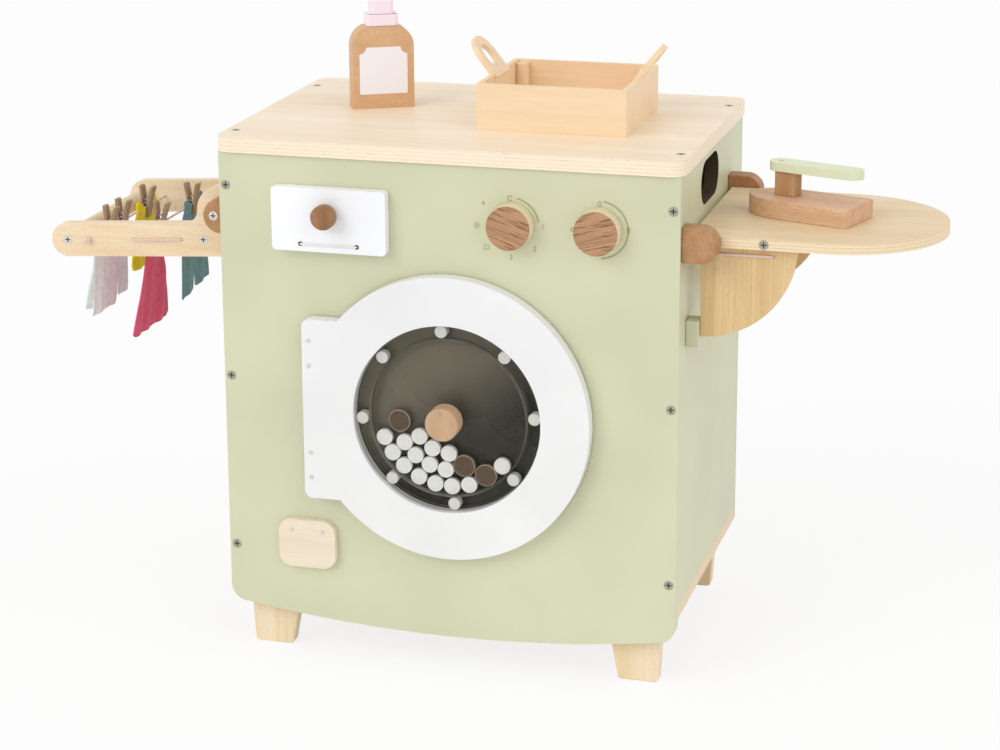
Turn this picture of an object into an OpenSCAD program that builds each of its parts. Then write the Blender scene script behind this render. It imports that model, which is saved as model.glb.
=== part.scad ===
// Toy washing machine with a fold-up clothes rack on its left side, a fold-up
// ironing board on its right side, a bead drum in the door, and an iron,
// a basket and a soap bottle that lift off.
// X runs to the right, Y into the depth, Z up. The drawing starts from the
// middle of the cabinet's front face at floor level.

/* [Cabinet] */
// Width of the cabinet over its side panels
cab_w = 400; // [360:1:440]
// Depth of the cabinet from the front face to the back of the side panels
cab_d = 264; // [245:1:290]
// Height of the underside of the top board above the floor
cab_h = 448; // [440:1:480]
// Thickness of the front and side panels
panel_t = 12; // [10:1:14]
// Thickness of the back panel
back_t = 9; // [6:1:12]
// Thickness of the top board
top_t = 13; // [9:1:16]
// Overhang of the top board at each side and at the front
top_over = 3; // [1:1:5]
// Overhang of the top board behind the back panel
top_over_back = 4; // [1:1:8]
// Corner radius of the top board
top_r = 14; // [8:1:20]
// Height of the underside of the base board above the floor
base_z = 60; // [52:1:66]
// Thickness of the base board
base_t = 12; // [9:1:15]
// Lowest point of the front panel above the floor
apron_z = 28; // [22:1:34]
// Rise of the front panel's lower edge from its middle to its corners
apron_rise = 14; // [6:1:18]
// Radius of the front panel's lower corners
apron_r = 15; // [8:1:20]
// Gap between two pieces that lie side by side but do not touch
side_gap = 0.5; // [0.3:0.1:0.8]

/* [Feet] */
// Width of a foot where it meets the base board
foot_top_w = 50; // [40:1:56]
// Width of a foot on the floor
foot_low_w = 36; // [28:1:40]
// Thickness of a foot
foot_t = 12; // [9:1:16]
// Distance of a foot from the side of the cabinet
foot_in = 13; // [8:1:20]
// Distance of a rear foot from the back panel
foot_back = 10; // [4:1:20]
// Radius of a foot's lower corners
foot_r = 4; // [2:0.5:6]

/* [Screws] */
// Radius of a panel screw's head
screw_head_r = 4; // [3:0.1:4.5]
// Height of a panel screw's head
screw_head_t = 2.4; // [2:0.1:3]
// Radius of a panel screw's shank
screw_r = 1.8; // [1.4:0.1:2.2]
// Length of a panel screw
screw_l = 32; // [26:1:40]
// Depth of the cross in a screw's head
cross_t = 1.4; // [1:0.1:1.6]
// Width of the cross in a screw's head
cross_w = 1; // [0.8:0.1:1.4]
// Length of the cross in a screw's head
cross_l = 4.8; // [4:0.1:5.4]
// Height of the lowest front screws above the underside of the base board
low_screw_up = 35; // [25:1:45]
// Distance of the middle front screws below the top board
mid_screw_drop = 198; // [185:1:215]
// Distance of the highest front screws below the top board
top_screw_drop = 29; // [20:1:36]
// Distance of the top screws from the front and back of the side panels
top_screw_in = 28; // [24:1:40]
// Room around a screw in its hole
screw_gap = 0.1; // [0.05:0.05:0.2]

/* [Side handles] */
// Width of the handle hole in each side panel
grip_w = 76; // [70:1:90]
// Height of the handle hole in each side panel
grip_h = 38; // [30:1:40]
// Distance of the handle hole's middle below the top board
grip_drop = 27; // [24:1:32]
// Distance of the handle hole's middle from the front face
grip_y = 122; // [100:1:130]

/* [Door] */
// Radius of the round door
door_r = 124.5; // [120:0.5:128]
// Distance of the door's middle to the right of the cabinet's middle
door_x = 3.5; // [0:0.5:10]
// Distance of the door's middle below the top board
door_drop = 218.5; // [213:0.5:228]
// Thickness of the door board
door_t = 12; // [9:1:14]
// Gap between the door and the front panel, which the hinge leaves fill
door_gap = 2; // [1.8:0.1:2.6]
// Radius of the window in the door
window_r = 82.5; // [80:0.5:84]
// Radius of the round opening in the front panel
mouth_r = 96; // [94.5:0.5:98]
// Height of the hinge tab
tab_h = 160; // [140:1:180]
// Distance of the tab's outer edge from the door's middle
tab_out = 127.5; // [126:0.5:134]
// Radius of the tab's corners
tab_r = 7; // [4:1:10]
// Height of each hinge
hinge_h = 40; // [30:1:50]
// Distance of each hinge's middle from the middle of the door
hinge_z = 50; // [40:1:56]
// Width of each hinge leaf
leaf_w = 18; // [14:1:22]
// Thickness of each hinge leaf
leaf_t = 0.9; // [0.7:0.1:0.9]
// Radius of the hinge knuckles
knuckle_r = 2; // [1.8:0.1:2.2]
// Radius of the hinge pins
hinge_pin_r = 1; // [0.8:0.1:1.2]
// Share of a hinge's height that each of its outer knuckles takes
knuckle_share = 0.33; // [0.3:0.01:0.36]
// Gap between two knuckles, as a share of a hinge's height
knuckle_gap_share = 0.01; // [0.01:0.005:0.02]
// Gap between the knuckles and the edge of the door
hinge_clear = 0.2; // [0.2:0.1:0.5]
// Depth by which the knuckles' middle lies behind the leaves' front
hinge_sunk = 0.5; // [0.4:0.1:0.8]
// Running room around a pin in its hole
pin_gap = 0.08; // [0.05:0.01:0.1]
// Radius of the round nail heads
nail_r = 1.6; // [1.2:0.1:2]
// Height of a nail head over the board that it holds
nail_proud = 0.6; // [0.4:0.1:1]
// Distance between the two nails of a hinge
nail_step = 22.5; // [18:0.5:26]
// Distance of the nails from the tab's outer edge
nail_in = 6; // [5:0.5:9]
// Radius of the magnets that hold the door shut
magnet_r = 5; // [4:0.5:6]
// Thickness of a magnet
magnet_t = 2; // [1.5:0.1:2.5]

/* [Bead drum] */
// Thickness of the clear discs
disc_t = 2; // [1.5:0.1:3]
// Distance of the front clear disc behind the door's face
disc_sunk = 3; // [2:0.5:4]
// Clear room between the two discs
drum_gap = 8; // [8:0.5:20]
// Room around the drum in its housing
drum_room = 1; // [0.6:0.1:1.4]
// Outer radius of the clear ring that holds the beads
ring_r = 70; // [68:0.5:70]
// Thickness of the clear ring
ring_t = 1.5; // [1:0.1:2]
// Radius of the drum's posts
post_r = 5.5; // [5:0.1:5.6]
// Number of posts
post_n = 8; // [6:1:10]
// Angle of the first post
post_turn = 41; // [0:1:44]
// Wall of the housing behind the door
house_t = 4; // [3:0.5:4.5]
// Thickness of the housing's clear rear pane
pane_t = 2.5; // [2:0.1:3]
// Radius of the drum's axle
axle_r = 4; // [3:0.5:5]
// Radius of the knob on the drum
drum_knob_r = 14.5; // [12:0.5:17]
// Distance of the knob's face before the door
drum_knob_out = 14; // [10:1:18]
// Wood left in front of the axle in the knob
drum_knob_face = 4; // [3:0.5:6]
// Radius of the cap behind the housing
axle_cap_r = 9; // [8:0.5:12]
// Thickness of the cap behind the housing
axle_cap_t = 5; // [4:0.5:7]
// Radius of a bead
bead_r = 7.1; // [6.8:0.1:7.3]
// Radius of a clear counter
counter_r = 9.6; // [9:0.1:9.8]
// Thickness of the beads and the counters
counter_t = 4; // [3:0.5:5]
// Clear room between them and the front disc
bead_room = 2.5; // [0.5:0.5:2.5]

/* [Dials] */
// Radius of a dial
dial_r = 19; // [16:0.5:21]
// Thickness of a dial
dial_t = 15; // [11:0.5:18]
// Distance of the dials' middles below the top board
dial_drop = 48; // [42:1:50]
// Distance of the right dial's middle from the right side
dial_in = 67.5; // [60:0.5:75]
// Distance between the two dials
dial_step = 74; // [68:1:78]
// Gap between a dial and the panel
dial_gap = 0.5; // [0.4:0.1:1]
// Radius of a dial's axle
dial_axle_r = 4; // [3:0.5:5]
// Radius of the cap on the inner end of a dial's axle
dial_cap_r = 8; // [7:0.5:10]
// Thickness of that cap
dial_cap_t = 4; // [3:0.5:6]

/* [Soap flap] */
// Width of the flap
flap_w = 101; // [96:1:108]
// Height of the flap
flap_h = 55; // [50:1:58]
// Thickness of the flap
flap_t = 10; // [8:0.5:12]
// Distance of the flap's upper edge below the top board
flap_drop = 25; // [20:1:27]
// Distance of the flap from the left side
flap_in = 50.5; // [45:0.5:56]
// Corner radius of the flap
flap_r = 3.5; // [2:0.5:6]
// Gap between the flap and the panel
flap_gap = 0.6; // [0.4:0.1:1]
// Rim by which the flap covers the panel around the opening
flap_rim = 8; // [6:0.5:10]
// Radius of the flap's knob
flap_knob_r = 10.5; // [8:0.5:12]
// Distance of the knob's face before the flap
flap_knob_out = 16; // [12:1:18]
// Thickness of the head of the flap's knob
flap_head_t = 10; // [7:0.5:11]
// Radius of the neck of the flap's knob
flap_neck_r = 5; // [4:0.5:6]
// Height of the knob above the flap's middle
flap_knob_up = 6; // [2:1:10]
// Distance between the two cord holes
flap_cord_step = 50; // [44:1:56]
// Height of the cord holes above the flap's lower edge
flap_cord_up = 6.5; // [5:0.5:7]
// Radius of the flap's cord
flap_cord_r = 1; // [0.8:0.1:1.2]
// Depth of the soap tray behind the opening
tray_d = 42; // [36:1:50]
// Wall of the soap tray
tray_t = 3; // [2:0.5:4]

/* [Plaque] */
// Width of the plaque
plaque_w = 52; // [46:1:56]
// Height of the plaque
plaque_h = 44; // [40:1:50]
// Thickness of the plaque
plaque_t = 7; // [5:0.5:9]
// Corner radius of the plaque
plaque_r = 12; // [8:1:16]
// Distance of the plaque's nails to each side of its middle
plaque_nail_x = 14; // [10:1:17]
// Height of the plaque's nails above its middle
plaque_nail_z = 12; // [6:1:14]
// Distance of the plaque's middle from the left side
plaque_in = 74; // [68:1:82]
// Distance of the plaque's middle below the door's middle
plaque_drop = 126; // [123:1:133]

/* [Side blocks] */
// Thickness of the round-ended blocks on the sides
block_t = 18; // [14:1:20]
// Half of the height of a block, which is also its end radius
block_r = 15; // [13:0.5:16]
// Distance of the first block behind the front face
block_y = 4; // [1:0.5:8]
// Room between the front and the rear block
block_span = 183; // [170:1:200]
// Distance of the blocks' middles below the top board
pivot_drop = 58; // [54:1:62]
// Distance of the ironing board's pivot from the side panel
board_pivot_out = 15; // [13:0.5:17]
// Distance of the rack's pivot from the side panel
rack_pivot_out = 8; // [7:0.5:10]
// Straight length of a rack block before its round end
rack_block_l = 2; // [1:0.5:4]
// Radius of the pivot pins
pivot_r = 3; // [2.5:0.1:3.5]
// Wood left outside a pivot pin's hole in its block
pin_cover = 2; // [1.5:0.5:4]
// Depth of the pivot pin in the ironing board
pivot_in = 16; // [12:1:20]

/* [Clothes rack] */
// Distance of the rack's outer end from the side panel
rack_out = 170; // [155:1:180]
// Thickness of an arm
arm_t = 10; // [8:0.5:12]
// Height of an arm
arm_h = 30; // [26:1:32]
// Drop of the arm's middle below its pivot
arm_drop = 25.5; // [24:0.5:30]
// Angle by which the rack slopes down towards its outer end
rack_droop = 3.6; // [0:0.1:5]
// Radius of the round hub at the arm's root
hub_r = 22; // [19:0.5:23]
// Radius of the hollow where the arm rises to its hub
arm_hollow = 12; // [8:1:16]
// Radius of the outer rail
rail_r = 8; // [6:0.5:9]
// Radius of the inner rail
inner_rail_r = 6; // [5:0.5:7]
// Distance of the inner rail from the side panel
inner_rail_out = 27; // [26:1:30]
// Radius of the rack's line
line_r = 1.1; // [0.8:0.1:1.4]
// Distances of the three runs of the line from the side panel
line_out = [134.5, 93, 47];
// Radius of the knots in the line
knot_r = 3.2; // [2.6:0.1:4]

/* [Clothes] */
// Thickness of the felt
felt_t = 1.6; // [1.2:0.1:2]
// Depth of the folds in the felt
fold_a = 2.2; // [1:0.1:3]
// Width of a fold in the felt
fold_w = 19; // [14:1:26]
// Longest drop of the clothes below the line
felt_room = 100; // [96:1:110]
// Drop of the felt's upper edge below the line
felt_drop = 1.6; // [1.5:0.1:2.5]
// Angles by which the shirt, the bib, the dress and the trousers lean out
shirt_lean = 6; // [0:1:8]
bib_lean = 5; // [0:1:8]
dress_lean = 7; // [0:1:8]
trousers_lean = 1; // [0:1:8]
// Width of a peg
peg_w = 8; // [6:0.5:9]
// Length of a peg above the line
peg_up = 20; // [17:1:26]
// Length of a peg's jaws below the line
peg_down = 9; // [6:0.5:11]
// Thickness of a peg's jaw at its lower end
peg_jaw_t = 2.4; // [1.8:0.1:3]
// Thickness of a peg's leg at the line and the spring
peg_leg_t = 3.6; // [3.2:0.1:4.2]
// Spread of a peg's leg from the spring to its upper end
peg_spread = 2.9; // [2:0.1:4]
// Height of a peg's spring above the line
peg_spring_up = 6; // [5.5:0.5:9]
// Radius of the middle of the peg spring's wire curl
curl_r = 2.4; // [2.2:0.1:2.8]
// Radius of the peg spring's wire
wire_r = 0.45; // [0.35:0.05:0.5]
// Distance from one curl of the spring to the next
curl_step = 1.4; // [1.35:0.05:1.6]
// Number of curls in a peg's spring
curl_n = 4; // [3:1:4]
// Room around the line in a peg's jaws
line_room = 0.9; // [0.5:0.1:1.2]

/* [Ironing board] */
// Distance of the ironing board's tip from the side panel
board_out = 205; // [190:1:220]
// Thickness of the ironing board
board_t = 9; // [8:0.5:10]
// Gap between the ironing board's root and the side panel
board_gap = 4; // [3:0.5:6]
// Radius of the cheeks under the board
cheek_r = 79; // [70:1:84]
// Thickness of a cheek
cheek_t = 9; // [7:0.5:11]
// Distance of a cheek from the board's long edge
cheek_in = 8; // [6:1:14]
// Thickness of the stop blocks between the cheeks and the side panel
stop_t = 11.5; // [10:0.5:12.5]
// Height of a stop block
stop_h = 23; // [18:1:28]
// Width of a stop block
stop_w = 18; // [14:1:22]
// Height by which a cheek's foot overlaps its stop block
stop_hold = 14; // [10:1:16]
// Drop of the cord on the cheek below the board
cheek_cord_drop = 7; // [5:0.5:9]
// Distances of the two cord holes from the cheek's inner edge
cheek_cord_at = [14, 60];
// Radius of the cheek's cord
cheek_cord_r = 1.1; // [0.8:0.1:1.3]
// Radius of the knots behind the cheek
cheek_knot_r = 2.8; // [2.2:0.1:3.4]
// Distance of the edge screws from the cheeks' inner edge
edge_screw_at = 53; // [46:1:60]

/* [Iron] */
// Length of the iron's sole
sole_l = 104; // [96:1:112]
// Width of the sole
sole_w = 51; // [46:1:56]
// Thickness of the sole
sole_t = 16; // [13:0.5:18]
// Length of the pointed bow
bow_l = 36; // [30:1:42]
// Length of the post
iron_post_l = 19; // [16:0.5:22]
// Width of the post
iron_post_w = 13.5; // [11:0.5:16]
// Height of the post
iron_post_h = 21.5; // [20:0.5:24]
// Distance of the post from the back of the sole
iron_post_at = 58; // [54:1:62]
// Length of the handle
iron_grip_l = 86; // [82:1:92]
// Width of the handle
iron_grip_w = 20; // [17:0.5:22]
// Thickness of the handle
iron_grip_t = 7.5; // [6:0.5:9]
// Distance by which the handle starts behind the sole's back edge
iron_grip_back = 2; // [0:0.5:5]
// Radius of the hole in the handle
iron_hole_r = 2.6; // [2:0.1:3.2]
// Turn of the iron on the board
iron_turn = -18; // [-24:1:-6]
// Distance of the sole's back edge from the side panel
iron_at = 132; // [126:1:140]
// Distance of the iron's middle line at its back behind the front face
iron_y = 98; // [94:1:112]

/* [Basket] */
// Width of the basket
basket_w = 131; // [120:1:140]
// Depth of the basket
basket_d = 126; // [110:1:132]
// Height of the basket's walls
basket_h = 40; // [34:1:46]
// Thickness of the basket's walls
basket_t = 4.5; // [3.5:0.5:6]
// Thickness of the basket's floor
basket_floor_t = 3; // [2:0.5:4]
// Radius of the posts inside the corners
corner_r = 6; // [5:0.5:7]
// Outer radius of a handle ring
loop_r = 20; // [17:0.5:23]
// Radius of the hole in a handle ring
loop_hole_r = 11; // [9:0.5:12.5]
// Distance by which the corner posts sit inside the walls' corners
corner_in = 5; // [4:0.5:6]
// Distance of the corner posts' tops below the rim
corner_low = 2; // [1:0.5:4]
// Depth by which a handle ring reaches below the rim
loop_sunk = 2; // [1:0.5:4]
// Lean of the handles outward
loop_lean = 38; // [20:1:42]
// Distance of the basket's left wall to the right of the cabinet's middle
basket_x = 5; // [0:1:12]
// Distance of the basket's front wall behind the front face
basket_y = 79; // [70:1:90]

/* [Bottle] */
// Width of the bottle
bottle_w = 55; // [50:1:60]
// Thickness of the bottle
bottle_t = 20; // [16:0.5:24]
// Height of the bottle's straight sides
bottle_side_h = 55; // [50:1:60]
// Height of the bottle without its cap
bottle_h = 73; // [70:1:80]
// Width of the bottle's flat top
bottle_neck_w = 31; // [26:1:34]
// Width of the cap's lower part
cap_w = 29; // [26:0.5:31]
// Height of the cap's lower part
cap_h = 11; // [9:0.5:14]
// Width of the cap's upper part
cap_top_w = 21; // [18:0.5:24]
// Step by which each part of the cap is thinner than what is below it
cap_in = 1; // [0.5:0.1:1.5]
// Corner radius of the cap
cap_corner_r = 4; // [3:0.5:5]
// Height of the cap's upper part
cap_top_h = 12; // [9:0.5:15]
// Width of the label
label_w = 43; // [38:1:46]
// Height of the label
label_h = 42; // [36:1:46]
// Thickness of the label
label_t = 0.4; // [0.3:0.1:0.6]
// Height of the label's lower edge above the bottle's base
label_up = 13; // [10:1:16]
// Notch in the label's upper corners
label_notch = 6; // [4:0.5:8]
// Turn of the bottle on the top board
bottle_turn = 28; // [10:1:40]
// Distance of the bottle's middle to the left of the cabinet's middle
bottle_x = 105; // [90:1:115]
// Distance of the bottle's middle behind the front face
bottle_y = 158; // [140:1:175]

/* [Hidden] */
$fn = 64;

// Length over which a cord rounds a corner
cord_ease = 0.9;
// Share of that length by which the middle of the corner stays off the sharp point
cord_arc = 0.29;

// Length by which a cutting shape stands out of what it cuts
over = 1;
// Gap that is left where one piece leans on another
heel_gap = 0.3;
// Sliver by which a corner radius stays below half of a width
sliver = 0.01;

// Straight edges and levels that several pieces share
side_x = cab_w / 2;
top_z = cab_h + top_t;
back_y = cab_d + back_t;
screw_x = side_x - panel_t / 2;
front_screw_z = [base_z + low_screw_up, cab_h - mid_screw_drop, cab_h - top_screw_drop];
grip_z = cab_h - grip_drop;
door_z = cab_h - door_drop;
pivot_z = cab_h - pivot_drop;
dial_z = cab_h - dial_drop;
dial_x = side_x - dial_in - dial_step;
flap_z = cab_h - flap_drop - flap_h;
flap_x = side_x - flap_in - flap_w / 2;
plaque_x = side_x - plaque_in;
plaque_z = door_z - plaque_drop;

// Block, arm and board positions along Y
front_in = block_y + block_t;
rear_in = front_in + block_span;
arm_front_y = front_in + side_gap;
arm_rear_y = rear_in - side_gap - arm_t;

// Door levels along Y, counted from the front panel's face
door_back_y = -door_gap;
door_face_y = door_back_y - door_t;
hinge_x = door_x - tab_out - knuckle_r - hinge_clear;
hinge_y = -leaf_t - knuckle_r + hinge_sunk;
disc_front_y = door_face_y + disc_sunk;
disc_rear_y = disc_front_y + disc_t + drum_gap;
pane_y = disc_rear_y + disc_t + drum_room;
drum_r = window_r - drum_room;
house_r = window_r + house_t;
drum_knob_y = door_face_y - drum_knob_out;
post_at = drum_r - post_r;
bead_lane_r = ring_r - ring_t - bead_r - heel_gap;
counter_lane_r = ring_r - ring_t - counter_r - heel_gap;
bead_mid_y = disc_front_y + disc_t + bead_room + counter_t / 2;

// Flap and its knob
flap_mid_z = flap_z + flap_h / 2;
flap_face_y = -flap_gap - flap_t;

// Rack
rack_pivot_x = -side_x - rack_pivot_out;
arm_z = pivot_z - arm_drop;
arm_end_r = arm_h / 2;
arm_tip_x = -side_x - rack_out;
line_x = [for (out = line_out) -side_x - out];

// Ironing board
board_pivot_x = side_x + board_pivot_out;
board_tip_x = side_x + board_out;
board_root_x = side_x + board_gap;
board_w = block_span - 2 * side_gap;
board_low_z = pivot_z - board_t / 2;
board_top_z = pivot_z + board_t / 2;
cheek_front_y = front_in + side_gap + cheek_in;
cheek_rear_y = rear_in - side_gap - cheek_in - cheek_t;
stop_z = board_low_z - cheek_r + stop_hold - stop_h;

// Place of the whole model: its box is centred in X and Y and stands on the floor
front_most_y = min(drum_knob_y, flap_face_y - flap_knob_out, -dial_gap - dial_t);
back_most_y = back_y + top_over_back;
left_most_x = sloped_x(arm_tip_x + arm_end_r, arm_z) - arm_end_r;
middle = [(board_tip_x + left_most_x) / 2, (front_most_y + back_most_y) / 2, 0];

// Colours as the photograph shows them
sage = [0.80, 0.83, 0.68];
ply = [0.93, 0.82, 0.64];
oak = [0.72, 0.53, 0.40];
white = [0.96, 0.96, 0.95];
steel = [0.62, 0.61, 0.58];
clear = [0.80, 0.84, 0.84, 0.35];
cord_pink = [0.90, 0.78, 0.74];

// Small building shapes

// A flat shape drawn in X and Z, with its thickness along Y
module upright(y, t) {
    translate([0, y + t, 0]) rotate([90, 0, 0]) linear_extrude(t) children();
}

// A flat shape drawn in Y and Z, with its thickness along X
module sideways(x, t) {
    translate([x, 0, 0]) rotate([90, 0, 90]) linear_extrude(t) children();
}

// A round rod along Y
module y_rod(x, y, z, l, r) {
    translate([x, y, z]) rotate([-90, 0, 0]) cylinder(h = l, r = r);
}

// A rectangle about its middle with round corners
module round_rect(w, h, r) {
    square([w - 2 * r, h], center = true);
    square([w, h - 2 * r], center = true);
    for (x = [-1, 1], y = [-1, 1]) translate([x * (w / 2 - r), y * (h / 2 - r)]) circle(r);
}

// A cord is a tube of eight sides along points that share one height. Each
// point is [x, y] and may carry the tube's radius there as a third number.
cord_sides = 8;

function unit(v) = v / norm(v);

// Corner points eased into a short arc: two points before and after each corner
function eased(points, ease) = concat(
    [points[0]],
    [for (i = [1 : len(points) - 2])
        let (p = points[i], a = unit(points[i - 1] - p), b = unit(points[i + 1] - p))
        each [p + a * ease, p + (a + b) * ease * cord_arc, p + b * ease]],
    [points[len(points) - 1]]
);

// Sideways direction at a point of the path, square to the way through it
function across(points, i) =
    let (before = points[max(0, i - 1)], after = points[min(len(points) - 1, i + 1)])
    let (a = i == 0 ? after - points[0] : points[i] - before)
    let (b = i == len(points) - 1 ? a : after - points[i])
    let (way = unit(unit(a) + unit(b)))
    [-way[1], way[0]];

// A cord of radius r at height z, with a ball-shaped knot before its first
// point and behind its last one where knot is above zero
module cord(points, z, r, ease, knot = 0) {
    path = eased(points, ease);
    n = len(path);
    first_way = unit(path[0] - path[1]);
    last_way = unit(path[n - 1] - path[n - 2]);
    swell = knot > 0 ? [20 : 20 : 160] : [];
    first_knot = [for (a = swell) [path[0] + first_way * knot * (1 + cos(a)), max(r, knot * sin(a))]];
    last_knot = [for (a = swell) [path[n - 1] + last_way * knot * (1 - cos(a)), max(r, knot * sin(a))]];
    run = [for (p = path) [p, r]];
    stations = concat(first_knot, run, last_knot);
    spots = [for (s = stations) s[0]];
    rings = [for (i = [0 : len(stations) - 1])
        let (side = across(spots, i))
        [for (j = [0 : cord_sides - 1])
            let (a = 360 * j / cord_sides, reach = stations[i][1] * cos(a))
            [spots[i][0] + side[0] * reach, spots[i][1] + side[1] * reach,
                z + stations[i][1] * sin(a)]]];
    tube(rings, cord_sides);
}

// Skin over a list of rings that each have the same number of points
module tube(rings, sides) {
    last = sides * (len(rings) - 1);
    walls = [for (i = [0 : len(rings) - 2], j = [0 : sides - 1])
        let (a = sides * i + j, b = sides * i + (j + 1) % sides)
        each [[a, b + sides, b], [a, a + sides, b + sides]]];
    first_end = [for (j = [1 : sides - 2]) [0, j, j + 1]];
    last_end = [for (j = [1 : sides - 2]) [last, last + j + 1, last + j]];
    polyhedron([for (ring = rings, p = ring) p], concat(walls, first_end, last_end));
}

// A countersunk cross-head screw along +Z with its head's face at the origin
module screw(l) {
    difference() {
        union() {
            cylinder(h = screw_head_t, r = screw_head_r);
            cylinder(h = l, r = screw_r);
        }
        for (a = [0, 90]) rotate([0, 0, a])
            translate([-cross_l / 2, -cross_w / 2, -over])
                cube([cross_l, cross_w, over + cross_t]);
    }
}

// The hole that such a screw fills
module screw_hole(l) {
    translate([0, 0, -over]) cylinder(h = over + screw_head_t, r = screw_head_r + screw_gap);
    translate([0, 0, -over]) cylinder(h = over + l + screw_gap, r = screw_r + screw_gap);
}

// Front screws, with their heads just under the painted face
module at_front_screws() {
    for (x = [-1, 1], z = front_screw_z) translate([x * screw_x, 0, z]) rotate([-90, 0, 0]) children();
}

// Top screws, one near each corner of the top board
module at_top_screws() {
    for (x = [-1, 1], y = [top_screw_in, cab_d - top_screw_in])
        translate([x * screw_x, y, top_z]) rotate([180, 0, 0]) children();
}

// Cabinet

// Outline of the front panel, with its lower edge as one long arc
module front_outline() {
    corner_z = apron_z + apron_rise;
    reach = side_x - apron_r;
    arc_r = (reach * reach + apron_rise * apron_rise) / (2 * apron_rise);
    translate([-side_x, corner_z + apron_r]) square([cab_w, cab_h - corner_z - apron_r]);
    translate([-reach, corner_z]) square([2 * reach, 2 * apron_r]);
    for (x = [-reach, reach]) translate([x, corner_z + apron_r]) circle(apron_r);
    intersection() {
        translate([0, apron_z + arc_r]) circle(arc_r, $fn = 256);
        translate([-reach, apron_z]) square([2 * reach, 2 * apron_r]);
    }
}

module front_panel() {
    color(sage) difference() {
        upright(0, panel_t) difference() {
            front_outline();
            translate([-flap_x, flap_mid_z]) round_rect(flap_w - 2 * flap_rim, flap_h - 2 * flap_rim, flap_r);
        }
        y_rod(door_x, -over, door_z, panel_t + 2 * over, mouth_r);
        for (i = [0, 1])
            y_rod(dial_x + i * dial_step, -over, dial_z, panel_t + 2 * over, dial_axle_r + pin_gap);
        y_rod(door_x + magnet_at, -over, door_z, over + magnet_t, magnet_r);
        at_front_screws() screw_hole(screw_l);
    }
}

// Opening in a side panel: an oval grip
module grip_shape() {
    translate([grip_y, grip_z]) round_rect(grip_w, grip_h, grip_h / 2 - sliver);
}

module side_board(x) {
    sideways(x, panel_t) difference() {
        translate([panel_t, base_z + base_t]) square([cab_d - panel_t, cab_h - base_z - base_t]);
        grip_shape();
    }
}

module left_side_panel() {
    color(sage) difference() {
        side_board(-side_x);
        at_front_screws() screw_hole(screw_l);
        at_top_screws() screw_hole(screw_l);
        for (y = [arm_front_y, arm_rear_y])
            translate([-side_x - over, y - 2 * side_gap, pivot_z - hub_r - 2 * side_gap])
                cube([panel_t + 2 * over, arm_t + 4 * side_gap, 2 * hub_r + 4 * side_gap]);
    }
}

module right_side_panel() {
    color(sage) difference() {
        side_board(side_x - panel_t);
        at_front_screws() screw_hole(screw_l);
        at_top_screws() screw_hole(screw_l);
    }
}

module back_panel() {
    color(sage) upright(cab_d, back_t)
        translate([-side_x, base_z]) square([cab_w, cab_h - base_z]);
}

module base_board() {
    color(ply) translate([-side_x, panel_t, base_z]) cube([cab_w, cab_d - panel_t, base_t]);
}

module top_board() {
    w = cab_w + 2 * top_over;
    d = back_most_y + top_over;
    color(ply) difference() {
        translate([0, back_most_y - d / 2, cab_h]) linear_extrude(top_t) round_rect(w, d, top_r);
        at_top_screws() screw_hole(screw_l);
    }
}

// One foot, drawn for the right side, with its outer edge nearly upright
module foot_outline() {
    outer = side_x - foot_in;
    slant = (foot_top_w - foot_low_w) / 4;
    low_out = outer - slant;
    low_in = low_out - foot_low_w;
    polygon([[outer, base_z], [low_out, foot_r], [low_out - foot_r, 0], [low_in + foot_r, 0],
        [low_in, foot_r], [outer - foot_top_w, base_z]]);
    for (x = [low_out - foot_r, low_in + foot_r]) translate([x, foot_r]) circle(foot_r);
}

module feet() {
    color(ply) for (side = [0, 1], y = [panel_t, cab_d - foot_back - foot_t])
        mirror([side, 0, 0]) upright(y, foot_t) foot_outline();
}

module cabinet_screws() {
    color(steel) at_front_screws() screw(screw_l);
    color(steel) at_top_screws() screw(screw_l);
}

module at_plaque_nails() {
    for (x = [-1, 1]) translate([-plaque_x + x * plaque_nail_x, -plaque_t, plaque_z + plaque_nail_z])
        rotate([-90, 0, 0]) children();
}

module plaque() {
    color(ply) difference() {
        upright(-plaque_t, plaque_t)
            translate([-plaque_x, plaque_z]) round_rect(plaque_w, plaque_h, plaque_r);
        at_plaque_nails() translate([0, 0, -over]) cylinder(h = plaque_t, r = nail_r / 2);
    }
}

// A nail along +Z: a flat round head on a thin shank
module nail(l) {
    translate([0, 0, -nail_proud]) cylinder(h = nail_proud, r = nail_r, $fn = 24);
    cylinder(h = l, r = nail_r / 2, $fn = 24);
}

module plaque_nails() {
    color(steel) at_plaque_nails() nail(plaque_t - over);
}

// Soap tray: a box open to the front, behind the opening in the front panel
module soap_tray() {
    w = flap_w - 2 * flap_rim + 2 * tray_t;
    h = flap_h - 2 * flap_rim + 2 * tray_t;
    color(ply) translate([-flap_x - w / 2, panel_t, flap_mid_z - h / 2]) difference() {
        cube([w, tray_d, h]);
        translate([tray_t, -over, tray_t])
            cube([w - 2 * tray_t, tray_d - tray_t + over, h - 2 * tray_t]);
    }
}

// Door hinges

// The stretches of a hinge's height, as shares of it: the door's knuckle and
// the panel's two knuckles, each a small gap apart
panel_parts = [[0, knuckle_share], [1 - knuckle_share, 1]];
door_parts = [[knuckle_share + knuckle_gap_share, 1 - knuckle_share - knuckle_gap_share]];

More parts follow.
